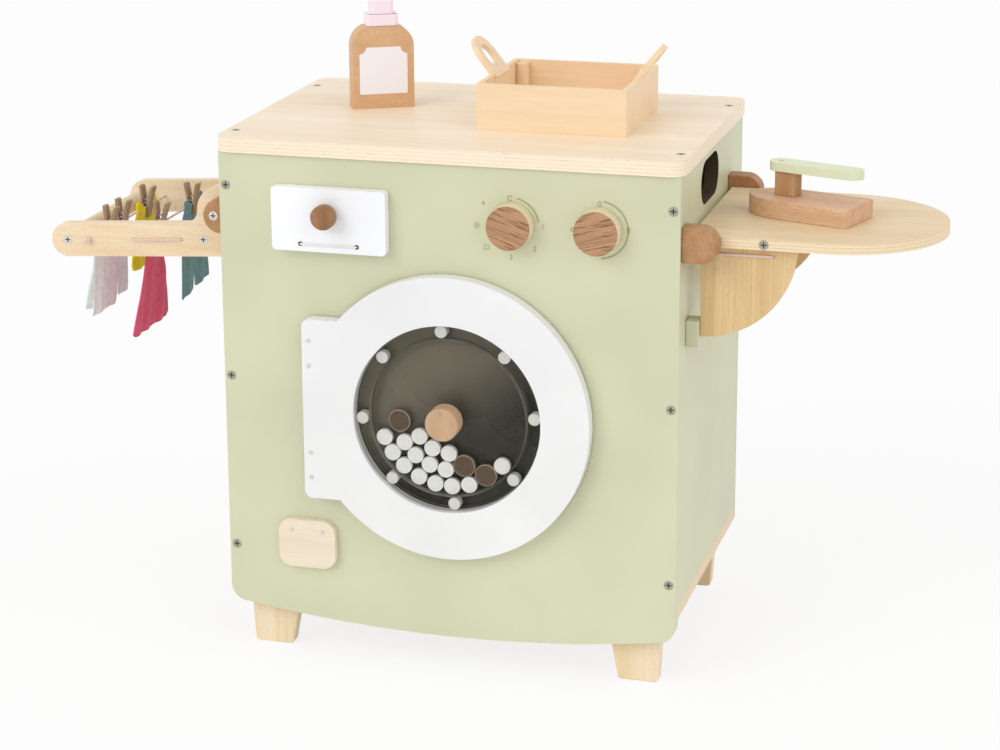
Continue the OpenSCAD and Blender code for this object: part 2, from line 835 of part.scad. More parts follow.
// A leaf with its share of the knuckles round the pin. It is cut away where the
// other leaf has its knuckles, with the same small gap.
module leaf(y, own, other, hole_r) {
    gap = knuckle_gap_share * hinge_h;
    for (s = [-1, 1]) translate([hinge_x, 0, door_z + s * hinge_z - hinge_h / 2]) difference() {
        union() {
            translate([0, y, 0]) cube([leaf_w, leaf_t, hinge_h]);
            for (p = own) translate([0, hinge_y, p[0] * hinge_h])
                cylinder(h = (p[1] - p[0]) * hinge_h, r = knuckle_r);
        }
        translate([0, hinge_y, -over]) cylinder(h = hinge_h + 2 * over, r = hole_r);
        for (p = other) translate([-over, y - over, p[0] * hinge_h - gap])
            cube([knuckle_r + side_gap + over, leaf_t + 2 * over, (p[1] - p[0]) * hinge_h + 2 * gap]);
    }
}

// The pin sits tight in the panel's knuckles and turns in the door's
module panel_hinge_leaves() {
    color(steel) leaf(-leaf_t, panel_parts, door_parts, hinge_pin_r);
}

module door_hinge_leaves() {
    color(steel) leaf(door_back_y, door_parts, panel_parts, hinge_pin_r + pin_gap);
}

module hinge_pins() {
    color(steel) for (s = [-1, 1])
        translate([hinge_x, hinge_y, door_z + s * hinge_z - hinge_h / 2])
            cylinder(h = hinge_h, r = hinge_pin_r);
}

// Magnets that hold the door shut, halfway between the mouth and the door's rim
magnet_at = (mouth_r + door_r) / 2;

module panel_magnet() {
    color(steel) y_rod(door_x + magnet_at, 0, door_z, magnet_t, magnet_r);
}

module door_magnet() {
    color(steel) y_rod(door_x + magnet_at, door_back_y - magnet_t, door_z, magnet_t, magnet_r);
}

// Blocks on the sides

// Outline of a block on the right side: flat on the panel, round outside
module block_outline(pivot_out) {
    intersection() {
        union() {
            translate([pivot_out, 0]) circle(block_r);
            translate([0, -block_r]) square([pivot_out, 2 * block_r]);
        }
        translate([0, -block_r]) square([pivot_out + block_r, 2 * block_r]);
    }
}

module at_blocks() {
    for (y = [block_y, rear_in]) translate([0, y, 0]) children();
}

module rack_blocks() {
    color(oak) difference() {
        at_blocks() upright(0, block_t) translate([-side_x, pivot_z]) mirror([1, 0])
            block_outline(rack_block_l);
        at_rack_pivots() screw_hole(block_t);
    }
}

// The rack's pivot screws pass a block and end flush with the far face of the arm
module at_rack_pivots() {
    translate([rack_pivot_x, block_y, pivot_z]) rotate([-90, 0, 0]) children();
    translate([rack_pivot_x, rear_in + block_t, pivot_z]) rotate([90, 0, 0]) children();
}

module rack_pivot_screws() {
    color(steel) at_rack_pivots() screw(block_t + side_gap + arm_t);
}

module board_blocks() {
    color(oak) difference() {
        at_blocks() upright(0, block_t) translate([side_x, pivot_z]) block_outline(board_pivot_out);
        at_board_pivots() translate([0, 0, pin_cover - side_gap - block_t])
            cylinder(h = block_t + side_gap, r = pivot_r);
    }
}

// The ironing board's pins start in the blocks and end in the board's edge
module at_board_pivots() {
    translate([board_pivot_x, front_in + side_gap, pivot_z]) rotate([-90, 0, 0]) children();
    translate([board_pivot_x, rear_in - side_gap, pivot_z]) rotate([90, 0, 0]) children();
}

module board_pivot_pins() {
    color(steel) at_board_pivots() translate([0, 0, pin_cover - side_gap - block_t])
        cylinder(h = side_gap + block_t - pin_cover + pivot_in - side_gap, r = pivot_r);
}

module stop_blocks() {
    color(sage) for (y = [cheek_front_y, cheek_rear_y])
        translate([side_x, y + cheek_t / 2 - stop_w / 2, stop_z])
            cube([stop_t - heel_gap, stop_w, stop_h]);
}

// Door and bead drum

module door_outline() {
    circle(door_r, $fn = 128);
    translate([-tab_out + tab_out / 4, 0]) round_rect(tab_out / 2, tab_h, tab_r);
}

module at_door_nails() {
    for (s = [-1, 1], n = [-1, 1])
        translate([door_x - tab_out + nail_in, door_face_y, door_z + s * hinge_z + n * nail_step / 2])
            rotate([-90, 0, 0]) children();
}

module door_board() {
    color(white) difference() {
        upright(door_face_y, door_t) translate([door_x, door_z]) door_outline();
        y_rod(door_x, door_face_y - over, door_z, door_t + 2 * over, window_r);
        y_rod(door_x + magnet_at, door_back_y - magnet_t, door_z, magnet_t + over, magnet_r);
        at_door_nails() translate([0, 0, -over]) cylinder(h = door_t, r = nail_r / 2);
    }
}

module door_nails() {
    color(steel) at_door_nails() nail(door_t - over);
}

module drum_housing() {
    color(white) difference() {
        y_rod(door_x, door_back_y, door_z, pane_y - door_back_y, house_r);
        y_rod(door_x, door_back_y - over, door_z, pane_y - door_back_y + 2 * over, window_r);
    }
}

module housing_pane() {
    color(clear) difference() {
        y_rod(door_x, pane_y, door_z, pane_t, house_r);
        y_rod(door_x, pane_y - over, door_z, pane_t + 2 * over, axle_r + pin_gap);
    }
}

// Beads lie in three rows on the ring. Each row has its distance from the
// drum's middle and the angles of its beads from straight down.
row_step = 2.05 * bead_r;
bead_rows = [
    [bead_lane_r, [-69, -55, -41, -26, -11.5, 2.5, 17, 50.2]],
    [bead_lane_r - row_step, [-57.5, -39.5, -21.5, -3.5]],
    [bead_lane_r - 2 * row_step, [-54, -27, 0]]
];
// The clear counters lie among them, each with its distance and angle
counter_spots = [
    [counter_lane_r, 33.8],
    [counter_lane_r - row_step, 18],
    [counter_lane_r - row_step, -82]
];

module in_drum(distance, angle) {
    translate([door_x + distance * sin(angle), bead_mid_y, door_z - distance * cos(angle)]) children();
}

module beads() {
    color(white) for (row = bead_rows, angle = row[1]) in_drum(row[0], angle)
        rotate([-90, 0, 0]) cylinder(h = counter_t, r = bead_r, center = true);
}

module clear_counters() {
    color(oak) for (spot = counter_spots) in_drum(spot[0], spot[1])
        rotate([-90, 0, 0]) cylinder(h = counter_t, r = counter_r, center = true);
}

module drum_disc(y) {
    color(clear) difference() {
        y_rod(door_x, y, door_z, disc_t, drum_r);
        y_rod(door_x, y - over, door_z, disc_t + 2 * over, axle_r);
    }
}

module drum_discs() {
    drum_disc(disc_front_y);
    drum_disc(disc_rear_y);
}

module drum_ring() {
    color(clear) difference() {
        y_rod(door_x, disc_front_y + disc_t, door_z, drum_gap, ring_r);
        y_rod(door_x, disc_front_y + disc_t - over, door_z, drum_gap + 2 * over, ring_r - ring_t);
    }
}

module drum_posts() {
    color(white) for (i = [0 : post_n - 1]) {
        angle = post_turn + i * 360 / post_n;
        y_rod(door_x + post_at * sin(angle), disc_front_y + disc_t, door_z + post_at * cos(angle),
            drum_gap, post_r);
    }
}

// The knob sits on the front disc; the axle runs through it and ends in a cap
module drum_knob() {
    color(ply) difference() {
        y_rod(door_x, drum_knob_y, door_z, disc_front_y - drum_knob_y, drum_knob_r);
        y_rod(door_x, drum_knob_y + drum_knob_face, door_z, disc_front_y - drum_knob_y, axle_r);
    }
}

module drum_axle() {
    cap_y = pane_y + pane_t + side_gap;
    color(ply) {
        y_rod(door_x, drum_knob_y + drum_knob_face, door_z,
            cap_y - drum_knob_y - drum_knob_face, axle_r);
        y_rod(door_x, cap_y, door_z, axle_cap_t, axle_cap_r);
    }
}

// Dials

// A dial is glued on its axle, which ends in a cap inside the cabinet
module dial(i) {
    x = dial_x + i * dial_step;
    color(oak) {
        y_rod(x, -dial_gap - dial_t, dial_z, dial_t, dial_r);
        y_rod(x, -dial_gap - dial_t / 2, dial_z, dial_gap + dial_t / 2 + panel_t + side_gap, dial_axle_r);
        y_rod(x, panel_t + side_gap, dial_z, dial_cap_t, dial_cap_r);
    }
}

module left_dial() {
    dial(0);
}

module right_dial() {
    dial(1);
}

// Soap flap

module at_flap_cord_holes() {
    for (s = [-1, 1]) translate([-flap_x + s * flap_cord_step / 2, flap_face_y, flap_z + flap_cord_up])
        rotate([-90, 0, 0]) children();
}

module flap_board() {
    color(white) difference() {
        upright(flap_face_y, flap_t) translate([-flap_x, flap_mid_z]) round_rect(flap_w, flap_h, flap_r);
        at_flap_cord_holes() translate([0, 0, -over])
            cylinder(h = flap_t + 2 * over, r = flap_cord_r + screw_gap);
        y_rod(-flap_x, flap_face_y - over, flap_mid_z + flap_knob_up, flap_t / 2 + over, flap_neck_r);
    }
}

module flap_knob() {
    color(oak) {
        y_rod(-flap_x, flap_face_y - flap_knob_out, flap_mid_z + flap_knob_up,
            flap_head_t, flap_knob_r);
        y_rod(-flap_x, flap_face_y - flap_knob_out, flap_mid_z + flap_knob_up,
            flap_knob_out + flap_t / 2, flap_neck_r);
    }
}

module flap_cord() {
    z = flap_z + flap_cord_up;
    front = flap_face_y - flap_cord_r;
    back = flap_face_y + flap_t;
    left = -flap_x - flap_cord_step / 2;
    right = left + flap_cord_step;
    color(cord_pink)
        cord([[left, back], [left, front], [right, front], [right, back]], z, flap_cord_r, cord_ease);
}

// Clothes rack

// The rack slopes about its pivot. These give the place of a point of the level rack.
function sloped_x(x, z) = rack_pivot_x + (x - rack_pivot_x) * cos(rack_droop)
    - (z - pivot_z) * sin(rack_droop);
function sloped_z(x, z) = pivot_z + (x - rack_pivot_x) * sin(rack_droop)
    + (z - pivot_z) * cos(rack_droop);

module sloped() {
    translate([rack_pivot_x, 0, pivot_z]) rotate([0, -rack_droop, 0])
        translate([-rack_pivot_x, 0, -pivot_z]) children();
}

module sloped_outline() {
    translate([rack_pivot_x, pivot_z]) rotate(rack_droop)
        translate([-rack_pivot_x, -pivot_z]) children();
}

// Outline of an arm: a bar with a round end that rises to its hub and whose
// heel is cut upright beside the side panel
module arm_outline() {
    heel_x = -side_x - heel_gap;
    translate([rack_pivot_x, pivot_z]) circle(hub_r);
    difference() {
        sloped_outline() arm_bar();
        translate([heel_x, pivot_z - 2 * arm_h]) square([hub_r, 4 * arm_h]);
    }
}

// The bar runs on past its heel, by less than the piece that cuts it covers
module arm_bar() {
    bar_end = -side_x + hub_r / 2;
    hub_left = rack_pivot_x - hub_r;
    bar_top = arm_z + arm_end_r;
    translate([arm_tip_x + arm_end_r, arm_z]) circle(arm_end_r);
    translate([arm_tip_x + arm_end_r, arm_z - arm_end_r])
        square([bar_end - arm_tip_x - arm_end_r, arm_h]);
    difference() {
        translate([hub_left - arm_hollow, arm_z])
            square([rack_pivot_x - hub_left + arm_hollow, bar_top - arm_z + arm_hollow]);
        translate([hub_left - arm_hollow, bar_top + arm_hollow]) circle(arm_hollow);
    }
}

// Where the line passes an arm
module line_holes(y) {
    sloped() for (x = line_x) y_rod(x, y - over, arm_z, arm_t + 2 * over, line_r + screw_gap);
}

module arm(y) {
    color(ply) difference() {
        upright(y, arm_t) arm_outline();
        line_holes(y);
        y_rod(rack_pivot_x, y - over, pivot_z, arm_t + 2 * over, screw_r + pin_gap);
        at_rail_screws() screw_hole(arm_t * 2);
    }
}

module front_arm() {
    arm(arm_front_y);
}

module rear_arm() {
    arm(arm_rear_y);
}

module at_rail_screws() {
    sloped() for (x = [arm_tip_x + arm_end_r, -side_x - inner_rail_out]) {
        translate([x, arm_front_y, arm_z]) rotate([-90, 0, 0]) children();
        translate([x, arm_rear_y + arm_t, arm_z]) rotate([90, 0, 0]) children();
    }
}

module rack_rails() {
    l = arm_rear_y - arm_front_y - arm_t;
    color(ply) difference() {
        sloped() {
            y_rod(arm_tip_x + arm_end_r, arm_front_y + arm_t, arm_z, l, rail_r);
            y_rod(-side_x - inner_rail_out, arm_front_y + arm_t, arm_z, l, inner_rail_r);
        }
        at_rail_screws() screw_hole(arm_t * 2);
    }
}

module rack_screws() {
    color(steel) at_rail_screws() screw(arm_t * 2);
}

// One line in three runs, knotted at both ends
module rack_line() {
    front = arm_front_y - line_r;
    rear = arm_rear_y + arm_t + line_r;
    color(cord_pink) sloped() cord([
        [line_x[0], arm_front_y], [line_x[0], rear],
        [line_x[1], rear], [line_x[1], front],
        [line_x[2], front], [line_x[2], arm_rear_y + arm_t]
    ], arm_z, line_r, cord_ease, knot_r);
}

// Clothes: each outline is drawn with Y along the line and Z down from it.
// Pegs sit at the places given in Y.
shirt_pegs_y = [68, 95];
shirt_points = [
    [42, 0], [100, 0], [107, -34], [111, -69], [92.5, -70], [91.5, -42], [89, -75],
    [39, -76], [37, -44], [33, -66], [21.5, -64], [34, -20]
];
dress_pegs_y = [84];
dress_points = [
    [60, 0], [93, 0], [95, -33], [110, -67], [115, -90], [112, -95], [44, -96.5],
    [41.5, -94], [50, -50], [56, -23]
];
trousers_pegs_y = [160.5];
trousers_points = [
    [137, 0], [186, 0], [192, -75], [164, -79], [161, -50], [157, -80], [130, -84]
];
bib_pegs_y = [151];
bib_points = [
    [127, 0], [167, 0], [172, -48], [165, -56], [126, -56], [119, -50]
];

// Distance from a place in Y to the nearest peg's edge, zero under a peg
function from_peg(y, pegs) = max(0, min([for (p = pegs) abs(y - p)]) - peg_w / 2 - over);

// Sideways swing of the felt at a place in Y
function fold(y, pegs) = fold_a * (1 - cos(360 * from_peg(y, pegs) / fold_w)) / 2;

// What hangs on a run of the line leans out about it
module hung(run, lean) {
    translate([sloped_x(line_x[run], arm_z), 0, sloped_z(line_x[run], arm_z)])
        rotate([0, lean, 0]) children();
}

// The felt seen from above, as a thin wavy ribbon
module ribbon(pegs) {
    step = 2;
    last = ceil(rear_in / step);
    polygon(concat(
        [for (i = [0 : last]) [fold(step * i, pegs) - felt_t / 2, step * i]],
        [for (i = [last : -1 : 0]) [fold(step * i, pegs) + felt_t / 2, step * i]]
    ));
}

module garment(run, lean, points, pegs, tint) {
    color(tint) hung(run, lean) translate([0, 0, -felt_drop]) intersection() {
        translate([0, 0, -felt_room]) linear_extrude(felt_room) ribbon(pegs);
        sideways(-fold_w / 2, fold_w) polygon(points);
    }
}

// Outline of one leg of a peg, drawn in X and Z, for the right side
module leg_outline() {
    inner = felt_t / 2;
    eased_in = inner + side_gap;
    outer = inner + peg_leg_t;
    polygon([[inner, -peg_down], [inner + peg_jaw_t, -peg_down], [outer, 0],
        [outer, peg_spring_up], [outer + peg_spread, peg_up],
        [eased_in + peg_spread, peg_up], [eased_in, peg_spring_up], [eased_in, line_r]]);
}

// Six points round a wire
function ring_at(p, u, v, r) = [for (i = [0 : 5]) p + r * (cos(60 * i) * u + sin(60 * i) * v)];

// Points on the curl: the turn is counted in degrees from the first end
function curl_point(a) = [curl_r * cos(a), curl_step * (a / 360 - curl_n / 2), curl_r * sin(a)];
function curl_rings() = [for (i = [0 : 8 * curl_n])
    let (a = 45 * i)
    ring_at(curl_point(a), [cos(a), 0, sin(a)], [0, 1, 0], wire_r)];

// Gap between neighbouring curls, measured on the ring points
curl_gap = norm(curl_point(360) - curl_point(0)) - 2 * wire_r;
echo("least gap of a peg spring in mm", curl_gap);

module at_pegs(run, lean, pegs) {
    hung(run, lean) for (y = pegs) translate([0, y, 0]) children();
}

// A peg: two wooden legs round the line and a wire spring between them
module peg() {
    difference() {
        for (s = [0, 1]) mirror([s, 0, 0]) upright(-peg_w / 2, peg_w) leg_outline();
        y_rod(0, -peg_w / 2 - over, 0, peg_w + 2 * over, line_r + line_room);
        y_rod(0, -peg_w / 2 - over, peg_spring_up, peg_w + 2 * over, curl_r + wire_r);
    }
    translate([0, 0, peg_spring_up]) tube(curl_rings(), 6);
}

module shirt() {
    garment(0, shirt_lean, shirt_points, shirt_pegs_y, [0.78, 0.74, 0.80]);
}

module shirt_pegs() {
    color(oak) at_pegs(0, shirt_lean, shirt_pegs_y) peg();
}

module bib() {
    garment(0, bib_lean, bib_points, bib_pegs_y, [0.90, 0.77, 0.12]);
}

module bib_peg() {
    color(oak) at_pegs(0, bib_lean, bib_pegs_y) peg();
}

module dress() {
    garment(1, dress_lean, dress_points, dress_pegs_y, [0.78, 0.31, 0.40]);
}

module dress_peg() {
    color(oak) at_pegs(1, dress_lean, dress_pegs_y) peg();
}

module trousers() {
    garment(1, trousers_lean, trousers_points, trousers_pegs_y, [0.36, 0.51, 0.51]);
}

module trousers_peg() {
    color(oak) at_pegs(1, trousers_lean, trousers_pegs_y) peg();
}

// Ironing board

module ironing_board() {
    r = board_w / 2;
    mid_y = front_in + side_gap + r;
    color(ply) difference() {
        union() {
            translate([board_tip_x - r, mid_y, board_low_z]) cylinder(h = board_t, r = r, $fn = 128);
            translate([board_root_x, mid_y - r, board_low_z])
                cube([board_tip_x - r - board_root_x, board_w, board_t]);
        }
        at_board_pivots() translate([0, 0, -over]) cylinder(h = over + pivot_in, r = pivot_r + pin_gap);
        at_edge_screws() screw_hole(cheek_in);
    }
}

// Screws through the board's long edges, over the cheeks
module at_edge_screws() {
    x = side_x + stop_t + edge_screw_at;
    translate([x, front_in + side_gap, pivot_z]) rotate([-90, 0, 0]) children();
    translate([x, rear_in - side_gap, pivot_z]) rotate([90, 0, 0]) children();
}

// Cheeks: quarter discs under the board whose inner feet lean on the stop blocks
module board_cheeks() {
    x = side_x + stop_t;
    color(ply) difference() {
        for (y = [cheek_front_y, cheek_rear_y]) upright(y, cheek_t) intersection() {
            translate([x, board_low_z]) circle(cheek_r, $fn = 128);
            translate([x, board_low_z - cheek_r]) square([cheek_r, cheek_r]);
        }
        for (at = cheek_cord_at)
            y_rod(x + at, cheek_front_y - over, board_low_z - cheek_cord_drop, cheek_t + 2 * over,
                cheek_cord_r + screw_gap);
    }
}

module board_screws() {
    color(steel) at_edge_screws() screw(cheek_in);
}

module cheek_cord() {
    x = side_x + stop_t;
    z = board_low_z - cheek_cord_drop;
    front = cheek_front_y - cheek_cord_r;
    back = cheek_front_y + cheek_t;
    color(cord_pink) cord([
        [x + cheek_cord_at[0], back], [x + cheek_cord_at[0], front],
        [x + cheek_cord_at[1], front], [x + cheek_cord_at[1], back]
    ], z, cheek_cord_r, cord_ease, cheek_knot_r);
}

// Iron: a thick sole with a pointed bow, a post and a flat handle
module sole_outline() {
    bow_r = (bow_l * bow_l + sole_w * sole_w / 4) / sole_w;
    translate([0, -sole_w / 2]) square([sole_l - bow_l, sole_w]);
    intersection() {
        translate([sole_l - bow_l, bow_r - sole_w / 2]) circle(bow_r);
        translate([sole_l - bow_l, sole_w / 2 - bow_r]) circle(bow_r);
        translate([sole_l - bow_l - over, -sole_w / 2]) square([bow_l + over, sole_w]);
    }
}

// The iron's own frame: its back edge at the origin, its bow along X
module at_iron(z) {
    translate([side_x + iron_at, iron_y, board_top_z + z]) rotate([0, 0, 180 + iron_turn]) children();
}

module iron_sole() {
    color(oak) at_iron(0) linear_extrude(sole_t) sole_outline();
}

module iron_post() {
    color(oak) at_iron(sole_t) translate([iron_post_at, -iron_post_w / 2, 0])
        cube([iron_post_l, iron_post_w, iron_post_h]);
}

module iron_handle() {
    grip_end = iron_grip_w / 2;
    grip_mid = iron_grip_l / 2 - iron_grip_back;
    color(sage) at_iron(sole_t + iron_post_h) linear_extrude(iron_grip_t) difference() {
        translate([grip_mid, 0]) round_rect(iron_grip_l, iron_grip_w, grip_end - sliver);
        translate([grip_mid + iron_grip_l / 2 - grip_end, 0]) circle(iron_hole_r);
    }
}

// Basket: four walls round a floor, with round posts inside the corners and
// a ring handle on each end wall that leans outward
module basket_loop() {
    difference() {
        union() {
            circle(loop_r);
            translate([-loop_r, -loop_r]) square([2 * loop_r, loop_r - loop_sunk]);
        }
        circle(loop_hole_r);
    }
}

module basket() {
    w = basket_w;
    d = basket_d;
    t = basket_t;
    rise = loop_r - loop_sunk;
    translate([basket_x, basket_y, top_z]) color(ply) {
        difference() {
            cube([w, d, basket_h]);
            translate([t, t, basket_floor_t]) cube([w - 2 * t, d - 2 * t, basket_h]);
        }
        for (x = [t + corner_in, w - t - corner_in], y = [t + corner_in, d - t - corner_in])
            translate([x, y, basket_floor_t])
                cylinder(h = basket_h - basket_floor_t - corner_low, r = corner_r);
        for (s = [0, 1])
            translate([s * w, d / 2, basket_h]) mirror([s, 0, 0]) rotate([0, -loop_lean, 0])
                translate([0, 0, rise * cos(loop_lean)]) sideways(0, t) basket_loop();
    }
}

// Bottle: a flat wooden bottle with round shoulders, a turned cap and a label
module bottle_outline() {
    shoulder_h = bottle_h - bottle_side_h;
    shoulder_w = (bottle_w - bottle_neck_w) / 2;
    translate([-bottle_w / 2, 0]) square([bottle_w, bottle_side_h]);
    translate([-bottle_neck_w / 2, 0]) square([bottle_neck_w, bottle_h]);
    r = (shoulder_h * shoulder_h + shoulder_w * shoulder_w) / (2 * shoulder_w);
    for (s = [0, 1]) mirror([s, 0]) intersection() {
        translate([bottle_w / 2 - r, bottle_side_h]) circle(r);
        translate([0, bottle_side_h - over]) square([bottle_w / 2, shoulder_h + over]);
    }
}

module label_outline() {
    difference() {
        translate([-label_w / 2, label_up]) square([label_w, label_h]);
        for (s = [-1, 1]) translate([s * label_w / 2, label_up + label_h]) circle(label_notch);
    }
}

module at_bottle(z) {
    translate([-bottle_x, bottle_y, top_z + z]) rotate([0, 0, bottle_turn]) children();
}

module soap_bottle() {
    color(oak) at_bottle(0) upright(-bottle_t / 2, bottle_t) bottle_outline();
    color(white) at_bottle(0) upright(-bottle_t / 2 - label_t, label_t) label_outline();
}

module bottle_cap() {
    color([0.93, 0.80, 0.84]) {
        at_bottle(bottle_h) linear_extrude(cap_h)
            round_rect(cap_w, bottle_t - 2 * cap_in, cap_corner_r);
        at_bottle(bottle_h + cap_h) linear_extrude(cap_top_h)
            round_rect(cap_top_w, bottle_t - 4 * cap_in, cap_corner_r);
    }
}

// Every piece stands in the same place, with the model's box centred on the origin
module placed() {
    translate(-middle) children();
}

placed() front_panel();
placed() left_side_panel();
placed() right_side_panel();
placed() back_panel();
placed() base_board();
placed() top_board();
placed() feet();
placed() cabinet_screws();
placed() plaque();
placed() plaque_nails();
placed() soap_tray();
placed() panel_hinge_leaves();
placed() panel_magnet();
placed() rack_blocks();
placed() rack_pivot_screws();
placed() board_blocks();
placed() board_pivot_pins();
placed() stop_blocks();
placed() door_board();
placed() door_hinge_leaves();
placed() hinge_pins();
placed() door_nails();
placed() door_magnet();
placed() drum_housing();
placed() housing_pane();
placed() beads();
placed() clear_counters();
placed() drum_discs();
placed() drum_ring();
placed() drum_posts();
placed() drum_knob();
placed() drum_axle();
placed() left_dial();
placed() right_dial();
placed() flap_board();
placed() flap_knob();
placed() flap_cord();
placed() front_arm();
placed() rear_arm();
placed() rack_rails();
placed() rack_screws();
placed() rack_line();
placed() shirt();
placed() shirt_pegs();
placed() dress();
placed() dress_peg();
placed() trousers();
placed() trousers_peg();
placed() bib();
placed() bib_peg();
placed() ironing_board();
placed() board_cheeks();
placed() board_screws();
placed() cheek_cord();
placed() iron_sole();
placed() iron_post();
placed() iron_handle();
placed() basket();
placed() soap_bottle();
placed() bottle_cap();
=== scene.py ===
import math

import bmesh
import bpy
from mathutils import Euler, Matrix, Vector, noise
from mathutils.geometry import delaunay_2d_cdt


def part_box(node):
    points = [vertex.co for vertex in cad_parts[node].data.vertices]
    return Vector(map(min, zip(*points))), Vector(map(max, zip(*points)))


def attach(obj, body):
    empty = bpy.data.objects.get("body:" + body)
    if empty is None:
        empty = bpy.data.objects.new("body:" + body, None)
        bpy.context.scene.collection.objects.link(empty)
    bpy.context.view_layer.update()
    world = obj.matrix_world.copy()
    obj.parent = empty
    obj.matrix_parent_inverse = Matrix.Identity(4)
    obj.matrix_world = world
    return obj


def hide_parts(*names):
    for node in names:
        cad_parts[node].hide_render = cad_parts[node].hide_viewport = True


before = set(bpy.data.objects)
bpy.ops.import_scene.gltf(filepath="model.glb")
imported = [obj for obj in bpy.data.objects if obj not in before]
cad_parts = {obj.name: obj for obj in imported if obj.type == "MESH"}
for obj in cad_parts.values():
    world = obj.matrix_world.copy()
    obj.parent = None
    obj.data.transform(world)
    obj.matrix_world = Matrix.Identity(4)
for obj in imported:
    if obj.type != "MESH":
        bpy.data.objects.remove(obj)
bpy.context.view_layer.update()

# The camera stands to the right of the toy and a little above it, with a long lens.
# Its place and turn were fitted to the screws, the door and the feet of the photograph.
CAMERA_RIGHT = 0.6188
CAMERA_BEFORE = 2.0358
CAMERA_HEIGHT = 0.9210
CAMERA_YAW = 15.67
CAMERA_PITCH = 75.04
CAMERA_ROLL = -0.26
CAMERA_LENS = 94.75
CAMERA_SHIFT = -0.1

panel_low, panel_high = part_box("front_panel")
panel_middle = Vector(((panel_low.x + panel_high.x) / 2, panel_low.y, 0))
lens = bpy.data.cameras.new("camera")
lens.lens = CAMERA_LENS
lens.shift_y = CAMERA_SHIFT
camera = bpy.data.objects.new("camera", lens)
camera.location = (panel_middle.x + CAMERA_RIGHT, panel_low.y - CAMERA_BEFORE, CAMERA_HEIGHT)
yaw = Matrix.Rotation(math.radians(CAMERA_YAW), 3, "Z")
pitch = Matrix.Rotation(math.radians(CAMERA_PITCH), 3, "X")
roll = Matrix.Rotation(math.radians(CAMERA_ROLL), 3, "Z")
camera.rotation_euler = (yaw @ pitch @ roll).to_euler()
bpy.context.scene.collection.objects.link(camera)
bpy.context.scene.camera = camera
bpy.context.scene.view_settings.view_transform = "Standard"


class Tone:
    """A value in a finish's tree that takes part in plain sums."""

    def __init__(self, finish, socket):
        self.finish = finish
        self.socket = socket

    def __add__(self, other):
        return self.finish.math("ADD", self, other)

    def __radd__(self, other):
        return self.finish.math("ADD", other, self)

    def __sub__(self, other):
        return self.finish.math("SUBTRACT", self, other)

    def __rsub__(self, other):
        return self.finish.math("SUBTRACT", other, self)

    def __mul__(self, other):
        return self.finish.math("MULTIPLY", self, other)

    def __rmul__(self, other):
        return self.finish.math("MULTIPLY", other, self)

    def __truediv__(self, other):
        return self.finish.math("DIVIDE", self, other)


class Finish:
    """A paint, lacquer or cloth whose nodes are added one by one."""

    def __init__(self, name):
        self.material = bpy.data.materials.new(name)
        self.material.use_nodes = True
        self.tree = self.material.node_tree
        self.tree.nodes.clear()

    def node(self, kind, settings=None, sockets=None, out=0):
        made = self.tree.nodes.new(kind if "Node" in kind else "ShaderNode" + kind)
        for key, value in (settings or {}).items():
            if key == "stops":
                steps = made.color_ramp.elements
                steps.remove(steps[1])
                steps[0].position, steps[0].color = value[0]
                for position, colour in value[1:]:
                    steps.new(position).color = colour
            else:
                setattr(made, key, value)
        for key, value in (sockets or {}).items():
            if isinstance(value, Tone):
                self.tree.links.new(value.socket, made.inputs[key])
            else:
                made.inputs[key].default_value = value
        return Tone(self, made.outputs[out]) if made.outputs else None

    def math(self, operation, first, second=0.0):
        return self.node("Math", {"operation": operation}, {0: first, 1: second})

    def mix(self, share, first, second, blend="MIX"):
        kinds = {"data_type": "RGBA", "blend_type": blend}
        return self.node("Mix", kinds, {0: share, 6: first, 7: second}, out=2)

    def spread(self, value, low, high):
        """A value that goes from 0 at low to 1 at high."""
        kinds = {"interpolation_type": "SMOOTHSTEP"}
        return self.node("MapRange", kinds, {0: value, 1: low, 2: high})

    def speckle(self, place, size, detail=3.0, rough=0.55):
        """Soft noise whose lumps are about one size, in metres."""
        sockets = {"Vector": place, "Scale": 1 / size, "Detail": detail, "Roughness": rough}
        return self.node("TexNoise", {}, sockets)

    def close(self, sockets):
        skin = self.node("BsdfPrincipled", {}, sockets)
        self.node("OutputMaterial", {}, {"Surface": skin})
        return self.material


def colour(red, green, blue):
    """An sRGB colour from 0 to 255 as the linear colour that a node takes."""
    parts = [part / 255 for part in (red, green, blue)]
    straight = [p / 12.92 if p <= 0.04045 else ((p + 0.055) / 1.055) ** 2.4 for p in parts]
    return (*straight, 1.0)


# The room is a bright white studio: an even sky, a soft key lamp from the front left and a weak
# fill from the right. The floor is white paper that keeps a faint shadow under the toy.
SKY_LEVEL = 0.72
KEY_STRENGTH = 0.88
KEY_FROM = (-0.50, -0.72, 0.55)
KEY_SOFTNESS = 38
FILL_STRENGTH = 0.55
FILL_FROM = (0.80, -0.30, 0.50)
FILL_SOFTNESS = 60
FLOOR_SIZE = 30
FLOOR_GLOW = 0.8


def seen(finish):
    """1 on rays that the camera, a mirror or a clear sheet sends out, and 0 on the others."""
    seen_by_eye = finish.node("LightPath", out="Is Camera Ray")
    mirrored = finish.node("LightPath", out="Is Glossy Ray")
    through = finish.node("LightPath", out="Is Transmission Ray")
    return finish.math("MAXIMUM", finish.math("MAXIMUM", seen_by_eye, mirrored), through)


world = bpy.data.worlds.new("studio")
bpy.context.scene.world = world
world.use_nodes = True
sky = Finish.__new__(Finish)
sky.tree = world.node_tree
sky.tree.nodes.clear()
sky_light = SKY_LEVEL + (1 - SKY_LEVEL) * seen(sky)
sky_colour = {"Color": (1, 1, 1, 1), "Strength": sky_light}
sky.node("OutputWorld", {}, {"Surface": sky.node("Background", {}, sky_colour)})

